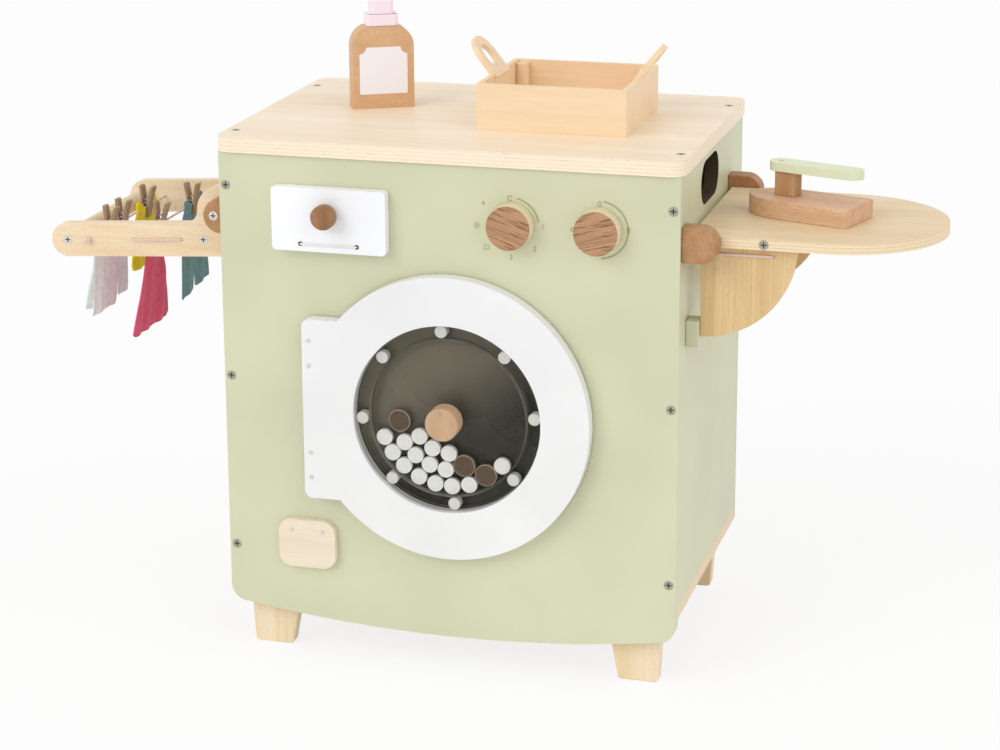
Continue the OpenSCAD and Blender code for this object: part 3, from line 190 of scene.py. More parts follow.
for lamp_name, strength, source, softness in (
    ("key", KEY_STRENGTH, KEY_FROM, KEY_SOFTNESS),
    ("fill", FILL_STRENGTH, FILL_FROM, FILL_SOFTNESS),
):
    lamp = bpy.data.lights.new(lamp_name, "SUN")
    lamp.energy = strength
    lamp.angle = math.radians(softness)
    lamp_holder = bpy.data.objects.new(lamp_name, lamp)
    lamp_holder.rotation_euler = Vector(source).to_track_quat("Z", "Y").to_euler()
    bpy.context.scene.collection.objects.link(lamp_holder)

paper = Finish("white_paper")
paper_place = paper.node("TexCoord", out="Object")
paper_grain = paper.speckle(paper_place, 0.002)
paper_skin = paper.node("BsdfPrincipled", {}, {
    "Base Color": paper.mix(paper_grain, colour(249, 249, 250), colour(253, 253, 253)),
    "Roughness": 0.9,
    "Specular IOR Level": 0.1,
})
paper_glow = paper.node("Emission", {}, {"Color": (1, 1, 1, 1), "Strength": 1.0})
paper_share = paper.node("MixShader", {}, {0: FLOOR_GLOW * seen(paper), 1: paper_skin, 2: paper_glow})
paper.node("OutputMaterial", {}, {"Surface": paper_share})

floor_mesh = bpy.data.meshes.new("floor")
floor_edge = FLOOR_SIZE / 2
floor_corners = [(-floor_edge, -floor_edge), (floor_edge, -floor_edge),
                 (floor_edge, floor_edge), (-floor_edge, floor_edge)]
floor_mesh.from_pydata([(x, y, 0) for x, y in floor_corners], [], [(0, 1, 2, 3)])
floor_mesh.materials.append(paper.material)
floor = bpy.data.objects.new("floor", floor_mesh)
bpy.context.scene.collection.objects.link(floor)

# Front, sides and back of the cabinet are fibreboard, sawn to shape and sprayed a pale sage green
# in a satin paint. Their edges are eased with sandpaper, and screws hold them together.
SAGE = (210, 211, 179)
PANEL_EASE = 0.0012


def satin_paint(name, tint, roughness=0.42):
    """Sprayed paint: an even colour with a hint of cloudiness and a fine orange-peel skin."""
    finish = Finish(name)
    place = finish.node("TexCoord", out="Object")
    cloud = finish.speckle(place, 0.11, detail=2)
    fibre = finish.speckle(place, 0.0011, detail=2)
    deep = tuple(0.955 * part for part in colour(*tint)[:3]) + (1,)
    pale = tuple(min(1.035 * part, 1) for part in colour(*tint)[:3]) + (1,)
    body = finish.mix(finish.spread(cloud * 0.8 + fibre * 0.2, 0.3, 0.7), deep, pale)
    skin = finish.node("Bump", {}, {"Strength": 0.12, "Distance": 0.0002, "Height": fibre})
    return finish.close({
        "Base Color": body,
        "Roughness": roughness + 0.12 * (cloud - 0.5),
        "Normal": skin,
        "Specular IOR Level": 0.4,
    })


def ease(name, width, finish, segments=2, bend=32):
    """Gives a board of the frame its finish, and rounds its sharp edges as sandpaper does."""
    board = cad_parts[name]
    board.data.materials.clear()
    board.data.materials.append(finish)
    if "custom_normal" in board.data.attributes:
        board.data.attributes.remove(board.data.attributes["custom_normal"])
    for face in board.data.polygons:
        face.use_smooth = True
    weld = board.modifiers.new("weld", "WELD")
    weld.merge_threshold = 0.00001
    flat = board.modifiers.new("flat", "DECIMATE")
    flat.decimate_type = "DISSOLVE"
    flat.angle_limit = math.radians(0.6)
    rounding = board.modifiers.new("rounding", "BEVEL")
    rounding.width = width
    rounding.segments = segments
    rounding.limit_method = "ANGLE"
    rounding.angle_limit = math.radians(bend)
    rounding.harden_normals = True
    return board


sage_paint = satin_paint("sage_paint", SAGE)
for panel in ("front_panel", "left_side_panel", "right_side_panel", "back_panel", "stop_blocks"):
    ease(panel, PANEL_EASE, sage_paint)

# The walls of the two hand holes were left bare when the panels were sprayed. They show brown
# fibreboard, rough from the router, in a colour darkened further as painted shade for the dim
# inside of each hole, and they are the inner faces high up in each side panel.
HOLE_LOW = 0.36
HOLE_DEEP = 0.004
HOLE_EDGE_ROOM = 0.05
# Painted shade: the hole walls' dark brown is bare board darkened for the shade inside the holes.
bare_board_and_shade = satin_paint("bare_board_and_shade", (74, 64, 44), roughness=0.8)
for side in ("left_side_panel", "right_side_panel"):
    side_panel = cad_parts[side]
    side_low, side_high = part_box(side)
    side_panel.data.materials.append(bare_board_and_shade)
    for face in side_panel.data.polygons:
        middle = face.center
        inside = side_low.y + HOLE_EDGE_ROOM < middle.y < side_high.y - HOLE_EDGE_ROOM
        high_up = HOLE_LOW < middle.z < side_high.z - HOLE_DEEP
        if high_up and inside and abs(face.normal.x) < 0.5:
            face.material_index = 1
    side_panel.modifiers["flat"].delimit = {"MATERIAL"}

# Top board, base board and feet are birch plywood under a clear matt lacquer. The faces show a
# quiet grain, and the sawn edges show the layers.
BIRCH = (240, 221, 190)
BIRCH_STREAK = (226, 200, 160)
PLY_STEP = 0.0016


def veneer(name, pale, deep, run, streak=0.006, length=0.16, pores=0.25, roughness=0.5,
           layers=None, turn=(0, 0, 0), middle=(0, 0, 0), contrast=1.0):
    """Lacquered wood whose grain runs along one axis. Layers is the axis that crosses the plies,
    the height of the lowest one and the axis's usual step."""
    finish = Finish(name)
    at = finish.node("TexCoord", out="Object")
    radians = tuple(math.radians(angle) for angle in turn)
    shift = tuple(-part for part in Matrix(Euler(radians).to_matrix()) @ Vector(middle))
    at = finish.node("Mapping", {}, {"Vector": at, "Rotation": radians, "Location": shift})
    thin = tuple(streak / length if axis == run else 1.0 for axis in "XYZ")
    drawn = finish.node("VectorMath", {"operation": "MULTIPLY"}, {0: at, 1: thin})
    wander = finish.speckle(at, 0.09, detail=1)
    bands = finish.speckle(drawn, streak * 3, detail=3)
    lines = finish.speckle(drawn, streak * 0.45, detail=4, rough=0.65)
    short = tuple(0.12 if axis == run else 1.0 for axis in "XYZ")
    pricked = finish.node("VectorMath", {"operation": "MULTIPLY"}, {0: at, 1: short})
    pore = finish.spread(finish.speckle(pricked, 0.0009, detail=1), 0.60, 0.74)
    drift = 0.2 / contrast
    figure = finish.spread(bands * 0.5 + lines * 0.35 + wander * 0.15, 0.5 - drift, 0.5 + drift)
    body = finish.mix(figure, colour(*deep), colour(*pale))
    dark = tuple(0.62 * part for part in colour(*deep)[:3]) + (1,)
    body = finish.mix(pore * pores, body, dark)
    height = lines * 0.5 - pore * 0.6
    if layers:
        axis, low, step = layers
        index = "XYZ".index(axis)
        apart = finish.node("SeparateXYZ", {}, {0: finish.node("TexCoord", out="Object")}, out=index)
        facing = finish.node("SeparateXYZ", {}, {0: finish.node("TexCoord", out="Normal")}, out=index)
        edge = finish.math("LESS_THAN", finish.math("ABSOLUTE", facing), 0.6)
        ply = finish.math("FRACT", (apart - low) / (2 * step))
        crossed = finish.math("GREATER_THAN", ply, 0.5)
        within = finish.math("FRACT", (apart - low) / step)
        glue = finish.spread(finish.math("ABSOLUTE", within - 0.5), 0.40, 0.47)
        end = tuple(0.80 * part for part in colour(*deep)[:3]) + (1,)
        sawn = finish.mix(crossed * 0.55, colour(*pale), colour(*deep))
        sawn = finish.mix(crossed * pore * 0.6, sawn, end)
        sawn = finish.mix(glue * 0.35, sawn, end)
        body = finish.mix(edge, body, sawn)
    bump = finish.node("Bump", {}, {"Strength": 0.22, "Distance": 0.0003, "Height": height})
    return finish.close({
        "Base Color": body,
        "Roughness": roughness + 0.15 * (lines - 0.5),
        "Normal": bump,
        "Specular IOR Level": 0.35,
    })


top_low, top_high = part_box("top_board")
base_low, base_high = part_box("base_board")
birch_top = veneer("birch_top", (251, 236, 214), (242, 221, 190), "X", streak=0.008, length=0.3,
                   pores=0.08, layers=("Z", top_low.z, PLY_STEP), roughness=0.42)
birch_base = veneer("birch_base", BIRCH, BIRCH_STREAK, "X", layers=("Z", base_low.z, PLY_STEP))
birch_foot = veneer("birch_foot", (243, 226, 198), (230, 203, 160), "Z",
                    layers=("Y", base_low.y, PLY_STEP))
ease("top_board", 0.0030, birch_top, segments=4)
ease("base_board", 0.0008, birch_base)
ease("feet", 0.0012, birch_foot)
ease("soap_tray", 0.0008, birch_base)

# The screws are zinc plated, with a cross cut into the head, and sit in countersunk holes.
# The door's hinges, pins, nails and magnets are the same dull metal.
STEEL_EASE = 0.00025
RECESS_REACH = 0.0022


def steel(name, tint, roughness):
    """Zinc plating: a dull metal with a mottled shine and fine scratches. Its colour is darkened
    in recesses, such as the cross of a screw head, as painted shade.
    """
    finish = Finish(name)
    place = finish.node("TexCoord", out="Object")
    mottle = finish.speckle(place, 0.0012, detail=3)
    rubbed = finish.node("VectorMath", {"operation": "MULTIPLY"}, {0: place, 1: (0.1, 1, 1)})
    scratch = finish.speckle(rubbed, 0.00025, detail=2)
    deep = tuple(0.75 * part for part in colour(*tint)[:3]) + (1,)
    body = finish.mix(finish.spread(mottle, 0.3, 0.7), deep, colour(*tint))
    # Painted shade: ambient occlusion darkens the colour in the cross and other recesses.
    open_sky = finish.node("AmbientOcclusion", {"samples": 6}, {"Distance": RECESS_REACH}, out="AO")
    recess_shade = tuple(0.10 * part for part in colour(*tint)[:3]) + (1,)
    body = finish.mix(finish.spread(open_sky, 0.55, 0.85), recess_shade, body)
    bump = finish.node("Bump", {}, {"Strength": 0.2, "Distance": 0.0001, "Height": scratch})
    return finish.close({
        "Base Color": body,
        "Metallic": 0.7,
        "Roughness": roughness + 0.2 * (mottle - 0.5),
        "Normal": bump,
    })


dark_zinc = steel("dark_zinc", (182, 179, 160), 0.42)
bright_zinc = steel("bright_zinc", (238, 232, 222), 0.42)
for fastener in ("cabinet_screws", "board_screws"):
    ease(fastener, STEEL_EASE, dark_zinc)
for fastener in ("rack_screws", "rack_pivot_screws", "board_pivot_pins", "plaque_nails",
                 "door_nails", "hinge_pins", "panel_hinge_leaves", "door_hinge_leaves",
                 "panel_magnet", "door_magnet"):
    ease(fastener, STEEL_EASE * 0.6, bright_zinc)

# The plaque is a small board of pale wood with soft corners. It is nailed on below the door and
# carries no print.
ease("plaque", 0.0022, veneer("cream_wood", (239, 226, 204), (229, 213, 186), "X", streak=0.003,
                             length=0.06, pores=0.08), segments=3)

# The door is a thick fibreboard disc with a straight tab for the hinges, sprayed white, and so
# is the soap flap. The housing behind the window is coloured dark as painted shade, and the
# drum's posts are painted white.
# Glue keeps the posts a hair off the clear discs.
GLUE_GAP = 0.00012
ease("door_board", 0.0022, satin_paint("white_paint", (236, 236, 236), roughness=0.36), segments=3)
ease("flap_board", 0.0014, satin_paint("flap_white", (246, 247, 250), roughness=0.36))
# Painted shade: the housing's dark colour stands for the shade behind the window rim.
ease("drum_housing", 0.0006, satin_paint("housing_painted_shade", (84, 78, 66), roughness=0.5))
posts = ease("drum_posts", 0.0006, satin_paint("post_white", (240, 239, 237), roughness=0.4))
glue_gap = posts.modifiers.new("glue_gap", "DISPLACE")
glue_gap.strength = -GLUE_GAP
glue_gap.mid_level = 0


# The window's discs and the ring between them are clear acrylic, cut by laser. The pane
# behind the drum is the same sheet in a smoky brown, with a painted reflection that makes it
# lighter towards the upper left.
def clear_sheet(name, tint, shine, cut_edge=(236, 236, 228)):
    """Clear acrylic: see-through, with a bright reflection and pale cut edges."""
    finish = Finish(name)
    place = finish.node("TexCoord", out="Object")
    smear = finish.speckle(place, 0.03, detail=2)
    gloss = finish.node("BsdfPrincipled", {}, {
        "Base Color": colour(*cut_edge),
        "Roughness": 0.06 + 0.08 * smear,
        "Specular IOR Level": 0.5,
    })
    clear = finish.node("BsdfTransparent", {}, {"Color": colour(*tint)})
    slant = finish.node("LayerWeight", {}, {"Blend": 0.35}, out="Fresnel")
    mixed = finish.node("MixShader", {}, {0: shine + 0.5 * slant * slant, 1: clear, 2: gloss})
    finish.node("OutputMaterial", {}, {"Surface": mixed})
    return finish.material


SHEET_EASE = 0.0003
ease("drum_discs", SHEET_EASE, clear_sheet("clear_disc", (252, 252, 251), 0.006))
ease("drum_ring", SHEET_EASE, clear_sheet("clear_ring", (240, 240, 236), 0.05))

smoke = Finish("smoked_pane_and_reflection")
smoke_at = smoke.node("TexCoord", out="Object")
smoke_x = smoke.node("SeparateXYZ", {}, {0: smoke_at}, out=0)
smoke_z = smoke.node("SeparateXYZ", {}, {0: smoke_at}, out=2)
pane_low, pane_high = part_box("housing_pane")
pane_middle = (pane_low + pane_high) / 2
# Painted reflection: the pane is coloured pale towards its upper left and dark towards its lower
# right.
reflection_slope = (smoke_z - pane_middle.z) - 0.75 * (smoke_x - pane_middle.x)
painted_reflection = smoke.spread(reflection_slope, -0.05, 0.06)
smoke_haze = smoke.speckle(smoke_at, 0.05, detail=2)
reflection_and_haze = painted_reflection * 0.85 + smoke_haze * 0.15
smoke_and_reflection = smoke.mix(reflection_and_haze, colour(26, 25, 16), colour(150, 141, 122))
smoke_skin = smoke.close({
    "Base Color": smoke_and_reflection,
    "Roughness": 0.22 + 0.1 * smoke_haze,
    "Specular IOR Level": 0.3,
})
ease("housing_pane", SHEET_EASE, smoke_skin)

# White wooden discs and see-through brown counters lie loose between the two clear discs. The
# white ones are lacquered until they shine, and the counters are cast resin with a pale rim.
bead_white = Finish("bead_white")
bead_at = bead_white.node("TexCoord", out="Object")
bead_cloud = bead_white.speckle(bead_at, 0.006, detail=2)
bead_skin = bead_white.close({
    "Base Color": bead_white.mix(bead_cloud, colour(248, 248, 247), colour(254, 254, 253)),
    "Roughness": 0.22 + 0.12 * bead_cloud,
    "Coat Weight": 0.3,
    "Coat Roughness": 0.08,
})
ease("beads", 0.0001, bead_skin)

resin = Finish("brown_resin")
resin_at = resin.node("TexCoord", out="Object")
resin_swirl = resin.speckle(resin_at, 0.008, detail=3)
resin_gloss = resin.node("BsdfPrincipled", {}, {
    "Base Color": resin.mix(resin_swirl, colour(150, 124, 104), colour(176, 150, 128)),
    "Roughness": 0.12 + 0.1 * resin_swirl,
})
resin_clear = resin.node("BsdfTransparent", {}, {"Color": colour(196, 172, 150)})
resin_slant = resin.node("LayerWeight", {}, {"Blend": 0.45}, out="Facing")
resin_mix = resin.node("MixShader", {}, {0: 0.30 + 0.6 * resin_slant, 1: resin_clear, 2: resin_gloss})
resin.node("OutputMaterial", {}, {"Surface": resin_mix})
resin_rim = satin_paint("resin_rim", (206, 188, 170), roughness=0.3)
counters = ease("clear_counters", 0.0005, resin.material, segments=3)
counters.data.materials.append(resin_rim)
counters.modifiers["rounding"].material = 1

# Knobs, dials, pivot blocks, iron and bottle are beech in a brown oil stain, turned or
# sawn, and rubbed with wax, so that the pores show as short dark dashes.
BEECH_EASE = 0.0012
beech_block = veneer("beech_block", (194, 150, 106), (162, 116, 76), "Y", streak=0.003, length=0.05,
                     pores=0.6)
beech_iron = veneer("beech_iron", (230, 192, 158), (206, 164, 128), "X", streak=0.003, length=0.06,
                    pores=0.6, turn=(0, 0, -162))
beech_knob = veneer("beech_knob", (184, 140, 102), (138, 96, 62), "Z", streak=0.003, length=0.05,
                    pores=0.5)
drum_wood = veneer("drum_wood", (208, 176, 142), (190, 154, 120), "Z", streak=0.003, length=0.04,
                   pores=0.4)
ease("rack_blocks", BEECH_EASE, beech_block)
ease("board_blocks", BEECH_EASE, beech_block)
ease("drum_knob", 0.0016, drum_wood, segments=3)
ease("drum_axle", 0.0008, drum_wood)
ease("flap_knob", 0.0014, beech_knob, segments=3)


def dial_wood(name, middle, slope):
    """Stained face with strong slanting grain, and a rim that was left pale."""
    finish = Finish(name)
    at = finish.node("TexCoord", out="Object")
    turn = (0, math.radians(slope), 0)
    shift = tuple(-part for part in Matrix(Euler(turn).to_matrix()) @ Vector(middle))
    along = finish.node("Mapping", {}, {"Vector": at, "Rotation": turn, "Location": shift})
    drawn = finish.node("VectorMath", {"operation": "MULTIPLY"}, {0: along, 1: (0.06, 1, 1)})
    streak = finish.speckle(drawn, 0.0016, detail=2)
    bands = finish.speckle(drawn, 0.009, detail=2)
    mark = finish.spread(streak, 0.50, 0.64)
    face = finish.mix(bands, colour(172, 126, 92), colour(196, 154, 116))
    face = finish.mix(mark * 0.8, face, colour(118, 80, 54))
    facing = finish.node("SeparateXYZ", {}, {0: finish.node("TexCoord", out="Normal")}, out=1)
    front = finish.spread(0 - facing, 0.55, 0.8)
    rim = finish.mix(bands, colour(222, 206, 170), colour(236, 222, 190))
    bump = finish.node("Bump", {}, {"Strength": 0.35, "Distance": 0.0004, "Height": 0 - mark})
    return finish.close({
        "Base Color": finish.mix(front, rim, face),
        "Roughness": 0.5 + 0.1 * mark,
        "Normal": bump,
        "Specular IOR Level": 0.35,
    })


for dial, slope in (("left_dial", -20), ("right_dial", 14)):
    dial_low, dial_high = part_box(dial)
    ease(dial, 0.0011, dial_wood(dial + "_wood", (dial_low + dial_high) / 2, slope), segments=3)


def settle(holder, name):
    """A plain object with the shape that a holder's modifiers give it."""
    bpy.context.view_layer.update()
    graph = bpy.context.evaluated_depsgraph_get()
    shape = bpy.data.meshes.new_from_object(holder.evaluated_get(graph))
    piece = bpy.data.objects.new(name, shape)
    shape.name = name
    bpy.context.scene.collection.objects.link(piece)
    bpy.data.objects.remove(holder)
    return piece


# Round each dial the panel carries small olive marks, printed with a thin ink: an arc, a few
# plain signs and the numbers. Places are in mm from the foot of the front panel's middle line.
OLIVE = (150, 156, 104)
MARK_LIFT = 0.00025
NUMBER_SIZE = 0.0058
SUN_X = 27.9
SUN_Z = 397.5
olive_ink = Finish("olive_ink")
ink_at = olive_ink.node("TexCoord", out="Object")
ink_wear = olive_ink.speckle(ink_at, 0.0006, detail=2)
ink_skin = olive_ink.close({
    "Base Color": olive_ink.mix(ink_wear, colour(*OLIVE), colour(172, 177, 128)),
    "Roughness": 0.55 + 0.1 * ink_wear,
    "Specular IOR Level": 0.3,
})


def circle(x, z, radius, start=0, end=360):
    """Places on a circle, counted in degrees from the right side."""
    count = max(4, round(abs(end - start) / 12))
    angles = [math.radians(start + (end - start) * step / count) for step in range(count + 1)]
    return [(x + radius * math.cos(angle), z + radius * math.sin(angle)) for angle in angles]


mark_strokes = [
    (circle(56.7, 422.2, 2.0, 40, 330), 0.7),
    (circle(58.5, 400.0, 22.6, 80, 8), 1.1),
    ([(34.2, 377.4), (38.2, 377.4), (38.2, 381.0), (34.2, 381.0), (34.2, 377.4)], 0.6),
    (circle(SUN_X, SUN_Z, 1.3), 0.6),
    (circle(132.5, 421.2, 1.5, 130, 410) + [(132.5, 424.4), (131.5, 422.4)], 0.6),
    (circle(132.5, 400.0, 24.2, 82, -86), 1.1),
    (circle(109.9, 398.9, 1.6), 0.7),
]
for ray in range(8):
    angle = math.radians(45 * ray)
    near = (SUN_X + 2.1 * math.cos(angle), SUN_Z + 2.1 * math.sin(angle))
    far = (SUN_X + 3.1 * math.cos(angle), SUN_Z + 3.1 * math.sin(angle))
    mark_strokes.append(([near, far], 0.5))
mark_points = []
mark_faces = []
for places, width in mark_strokes:
    first = len(mark_points)
    for i, (x, z) in enumerate(places):
        ahead = Vector(places[min(i + 1, len(places) - 1)])
        behind = Vector(places[max(i - 1, 0)])
        way = (ahead - behind).normalized()
        side = Vector((-way.y, way.x)) * width / 2
        for sign in (1, -1):
            spot = ((x + sign * side.x) / 1000, -MARK_LIFT, (z + sign * side.y) / 1000)
            mark_points.append(spot)
    for i in range(len(places) - 1):
        corner = first + 2 * i
        mark_faces.append((corner, corner + 1, corner + 3, corner + 2))
marks_mesh = bpy.data.meshes.new("dial_marks")
marks_mesh.from_pydata([Vector(point) + panel_middle for point in mark_points], [], mark_faces)
marks_mesh.materials.append(ink_skin)
number_parts = []
for words, x, z in (("1", 84.8, 399.4), ("2", 77.7, 380.2), ("3", 57.4, 371.6), ("4", 33.5, 416.6),
                    ("0", 157.2, 400.9)):
    letter = bpy.data.curves.new("number", "FONT")
    letter.body = words
    letter.size = NUMBER_SIZE
    letter.align_x = "CENTER"
    letter.align_y = "CENTER"
    holder = bpy.data.objects.new("number", letter)
    bpy.context.scene.collection.objects.link(holder)
    number = settle(holder, "number")
    stand = Matrix.Rotation(math.radians(90), 4, "X")
    place = Matrix.Translation(panel_middle + Vector((x / 1000, -MARK_LIFT, z / 1000)))
    number.data.transform(place @ stand)
    number_parts.append(number)
marks_shape = bmesh.new()
marks_shape.from_mesh(marks_mesh)
for number in number_parts:
    marks_shape.from_mesh(number.data)
    bpy.data.objects.remove(number)
bmesh.ops.remove_doubles(marks_shape, verts=marks_shape.verts, dist=0.000005)
for face in marks_shape.faces:
    face.normal_update()
    face.material_index = 0
    if face.normal.y > 0:
        face.normal_flip()
marks_shape.to_mesh(marks_mesh)
marks_shape.free()
dial_marks = bpy.data.objects.new("dial_marks", marks_mesh)
bpy.context.scene.collection.objects.link(dial_marks)
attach(dial_marks, "cabinet")

# Rack: arms of birch plywood with round rails between them. The pegs are small, of stained
# beech, and each has a wire spring, which is found as the part of its mesh that isn't tall.
arm_low, arm_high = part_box("front_arm")
birch_arm = veneer("birch_arm", (246, 226, 196), (230, 202, 160), "X",
                   layers=("Y", arm_low.y, PLY_STEP), streak=0.005, length=0.12)
rail_wood = veneer("rail_wood", (238, 220, 182), (222, 198, 156), "Y", streak=0.003, length=0.08)
ease("front_arm", 0.0014, birch_arm)
ease("rear_arm", 0.0014, birch_arm)
ease("rack_rails", 0.0006, rail_wood)

peg_wood = veneer("peg_wood", (188, 158, 128), (146, 114, 88), "Z", streak=0.0015, length=0.02,
                  pores=0.4)
SPRING_HEIGHT = 0.010
SPOT_STEPS = 100000
for pegs in ("shirt_pegs", "dress_peg", "trousers_peg", "bib_peg"):
    peg_body = ease(pegs, 0.0003, peg_wood)
    peg_body.data.materials.append(bright_zinc)
    lots = {}
    for face in peg_body.data.polygons:
        corners = [peg_body.data.vertices[i].co for i in face.vertices]
        spots = [tuple(round(part * SPOT_STEPS) for part in corner) for corner in corners]
        found = [lots[spot] for spot in spots if spot in lots]
        lot = found[0] if found else {"faces": [], "spots": set()}
        for other in found[1:]:
            if other is not lot:
                lot["faces"] += other["faces"]
                lot["spots"] |= other["spots"]
        lot["faces"].append(face.index)
        lot["spots"] |= set(spots)
        for spot in lot["spots"]:
            lots[spot] = lot
    for lot in {id(lot): lot for lot in lots.values()}.values():
        heights = [spot[2] / SPOT_STEPS for spot in lot["spots"]]
        if max(heights) - min(heights) < SPRING_HEIGHT:
            for index in lot["faces"]:
                peg_body.data.polygons[index].material_index = 1

# The line on the rack is a pale pink cotton cord. Each cord is twisted from three strands that
# run as helices round its path, which is threaded through its holes. A small overhand knot
# stops each loose end.
CORD_TWIST = 0.0052
CORD_GRAIN = 0.0006
CORD_RADIUS = 0.0011
CORD_BEND = 0.0012
KNOT_STEPS = 36
KNOT_WIDE = 0.62
KNOT_DEEP = 0.95
RACK_SLOPE = math.radians(3.6)
RACK_PIVOT = Vector((-0.208, 0, 0.390))
pink_cotton = Finish("pink_cotton")
cotton_at = pink_cotton.node("TexCoord", out="Object")
cotton_fluff = pink_cotton.speckle(cotton_at, 0.0006, detail=3)
cotton_twist = {"Strength": 0.4, "Distance": 0.0002, "Height": cotton_fluff}
cotton_bump = pink_cotton.node("Bump", {}, cotton_twist)
cotton_skin = pink_cotton.close({
    "Base Color": pink_cotton.mix(cotton_fluff, colour(214, 186, 178), colour(243, 226, 220)),
    "Roughness": 0.9,
    "Normal": cotton_bump,
})


def twisted_cord(finish):
    """A tree that turns the edges of a mesh into a cord of three twisted strands."""
    growth = Finish.__new__(Finish)
    growth.tree = bpy.data.node_groups.new("twisted_cord", "GeometryNodeTree")
    faces = growth.tree.interface
    faces.new_socket("Path", in_out="INPUT", socket_type="NodeSocketGeometry")
    faces.new_socket("Cord radius", in_out="INPUT", socket_type="NodeSocketFloat")
    faces.new_socket("Turn length", in_out="INPUT", socket_type="NodeSocketFloat")
    faces.new_socket("Cord", in_out="OUTPUT", socket_type="NodeSocketGeometry")
    path = growth.node("NodeGroupInput")
    radius = Tone(growth, path.socket.node.outputs["Cord radius"])
    turn_length = Tone(growth, path.socket.node.outputs["Turn length"])
    line = growth.node("GeometryNodeMeshToCurve", {}, {"Mesh": path})
    steps = {"Curve": line, "Length": CORD_GRAIN}
    line = growth.node("GeometryNodeResampleCurve", {"mode": "LENGTH"}, steps)
    along = growth.node("GeometryNodeInputTangent")
    across = growth.node("GeometryNodeInputNormal")
    beside = growth.node("VectorMath", {"operation": "CROSS_PRODUCT"}, {0: along, 1: across})
    length = growth.node("GeometryNodeSplineParameter", out="Length")
    reach = radius * 0.50
    tip = growth.node("GeometryNodeCurvePrimitiveCircle", {}, {"Resolution": 8, "Radius": reach})
    strands = []
    for turn in range(3):
        angle = length / turn_length * math.tau + turn * math.tau / 3
        out = growth.node("VectorMath", {"operation": "SCALE"},
                          {0: across, "Scale": reach * growth.math("COSINE", angle)})
        side = growth.node("VectorMath", {"operation": "SCALE"},
                           {0: beside, "Scale": reach * growth.math("SINE", angle)})
        shift = growth.node("VectorMath", {"operation": "ADD"}, {0: out, 1: side})
        helix = growth.node("GeometryNodeSetPosition", {}, {"Geometry": line, "Offset": shift})
        strands.append(growth.node("GeometryNodeCurveToMesh", {},
                                   {"Curve": helix, "Profile Curve": tip, "Fill Caps": True}))
    joined = growth.node("GeometryNodeJoinGeometry", {}, {"Geometry": strands[0]})
    for strand in strands[1:]:
        growth.tree.links.new(strand.socket, joined.socket.node.inputs["Geometry"])
    smooth = growth.node("GeometryNodeSetShadeSmooth", {}, {"Geometry": joined, "Shade Smooth": True})
    whole = growth.node("GeometryNodeRealizeInstances", {}, {"Geometry": smooth})
    dressed = growth.node("GeometryNodeSetMaterial", {}, {"Geometry": whole, "Material": finish})
    growth.node("NodeGroupOutput", {}, {"Cord": dressed})
    return growth.tree


def lay_cord(name, node, body, radius, route, knots, slope=False, finish=None):
    """A cord along a route given from the front panel's middle, with knots at some places."""
    places = []
    for start, end in zip(route, route[1:]):
        start = Vector(start)
        end = Vector(end)
        trim = min(CORD_BEND, (end - start).length * 0.3)
        reach = (end - start).normalized() * trim
        places += [start + reach, end - reach]
    places[0] = Vector(route[0])
    places[-1] = Vector(route[-1])
    edges = [(i, i + 1) for i in range(len(places) - 1)]
    for middle in knots:
        first = len(places)
        for step in range(KNOT_STEPS):
            turn = step * math.tau / KNOT_STEPS
            wide = math.sin(turn) + 2 * math.sin(2 * turn)
            high = math.cos(turn) - 2 * math.cos(2 * turn)
            deep = -math.sin(3 * turn)
            spot = Vector((wide * KNOT_WIDE, deep * KNOT_DEEP, high * KNOT_WIDE)) * radius
            places.append(Vector(middle) + spot)
            edges.append((first + step, first + (step + 1) % KNOT_STEPS))
    if slope:
        lean = Matrix.Rotation(-RACK_SLOPE, 3, "Y")
        places = [RACK_PIVOT + lean @ (place - RACK_PIVOT) for place in places]
    path = bpy.data.meshes.new(name + "_path")
    path.from_pydata([place + panel_middle for place in places], edges, [])
    holder = bpy.data.objects.new(name + "_path", path)
    bpy.context.scene.collection.objects.link(holder)
    growth = holder.modifiers.new("twisted", "NODES")
    growth.node_group = cord_growth
    sockets = {item.name: item.identifier for item in cord_growth.interface.items_tree
               if item.in_out == "INPUT"}
    growth[sockets["Cord radius"]] = radius
    growth[sockets["Turn length"]] = CORD_TWIST * radius / CORD_RADIUS
    piece = settle(holder, name)
    for index in range(len(piece.data.materials)):
        piece.data.materials[index] = finish or cotton_skin
    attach(piece, body)
    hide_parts(node)
    return piece


cord_growth = twisted_cord(cotton_skin)
LINE_HEIGHT = 0.3645
LINE_REAR = 0.2056
LINE_FRONT = 0.0214
line_runs = (-0.3345, -0.2930, -0.2470)
line_route = [
    (line_runs[0], 0.0200, LINE_HEIGHT), (line_runs[0], LINE_REAR, LINE_HEIGHT),
    (line_runs[1], LINE_REAR, LINE_HEIGHT), (line_runs[1], LINE_FRONT, LINE_HEIGHT),
    (line_runs[2], LINE_FRONT, LINE_HEIGHT), (line_runs[2], 0.2070, LINE_HEIGHT),
]
line_knots = [(line_runs[0], 0.0196, LINE_HEIGHT), (line_runs[2], 0.2074, LINE_HEIGHT)]
lay_cord("line_cord", "rack_line", "rack", CORD_RADIUS, line_route, line_knots, slope=True)

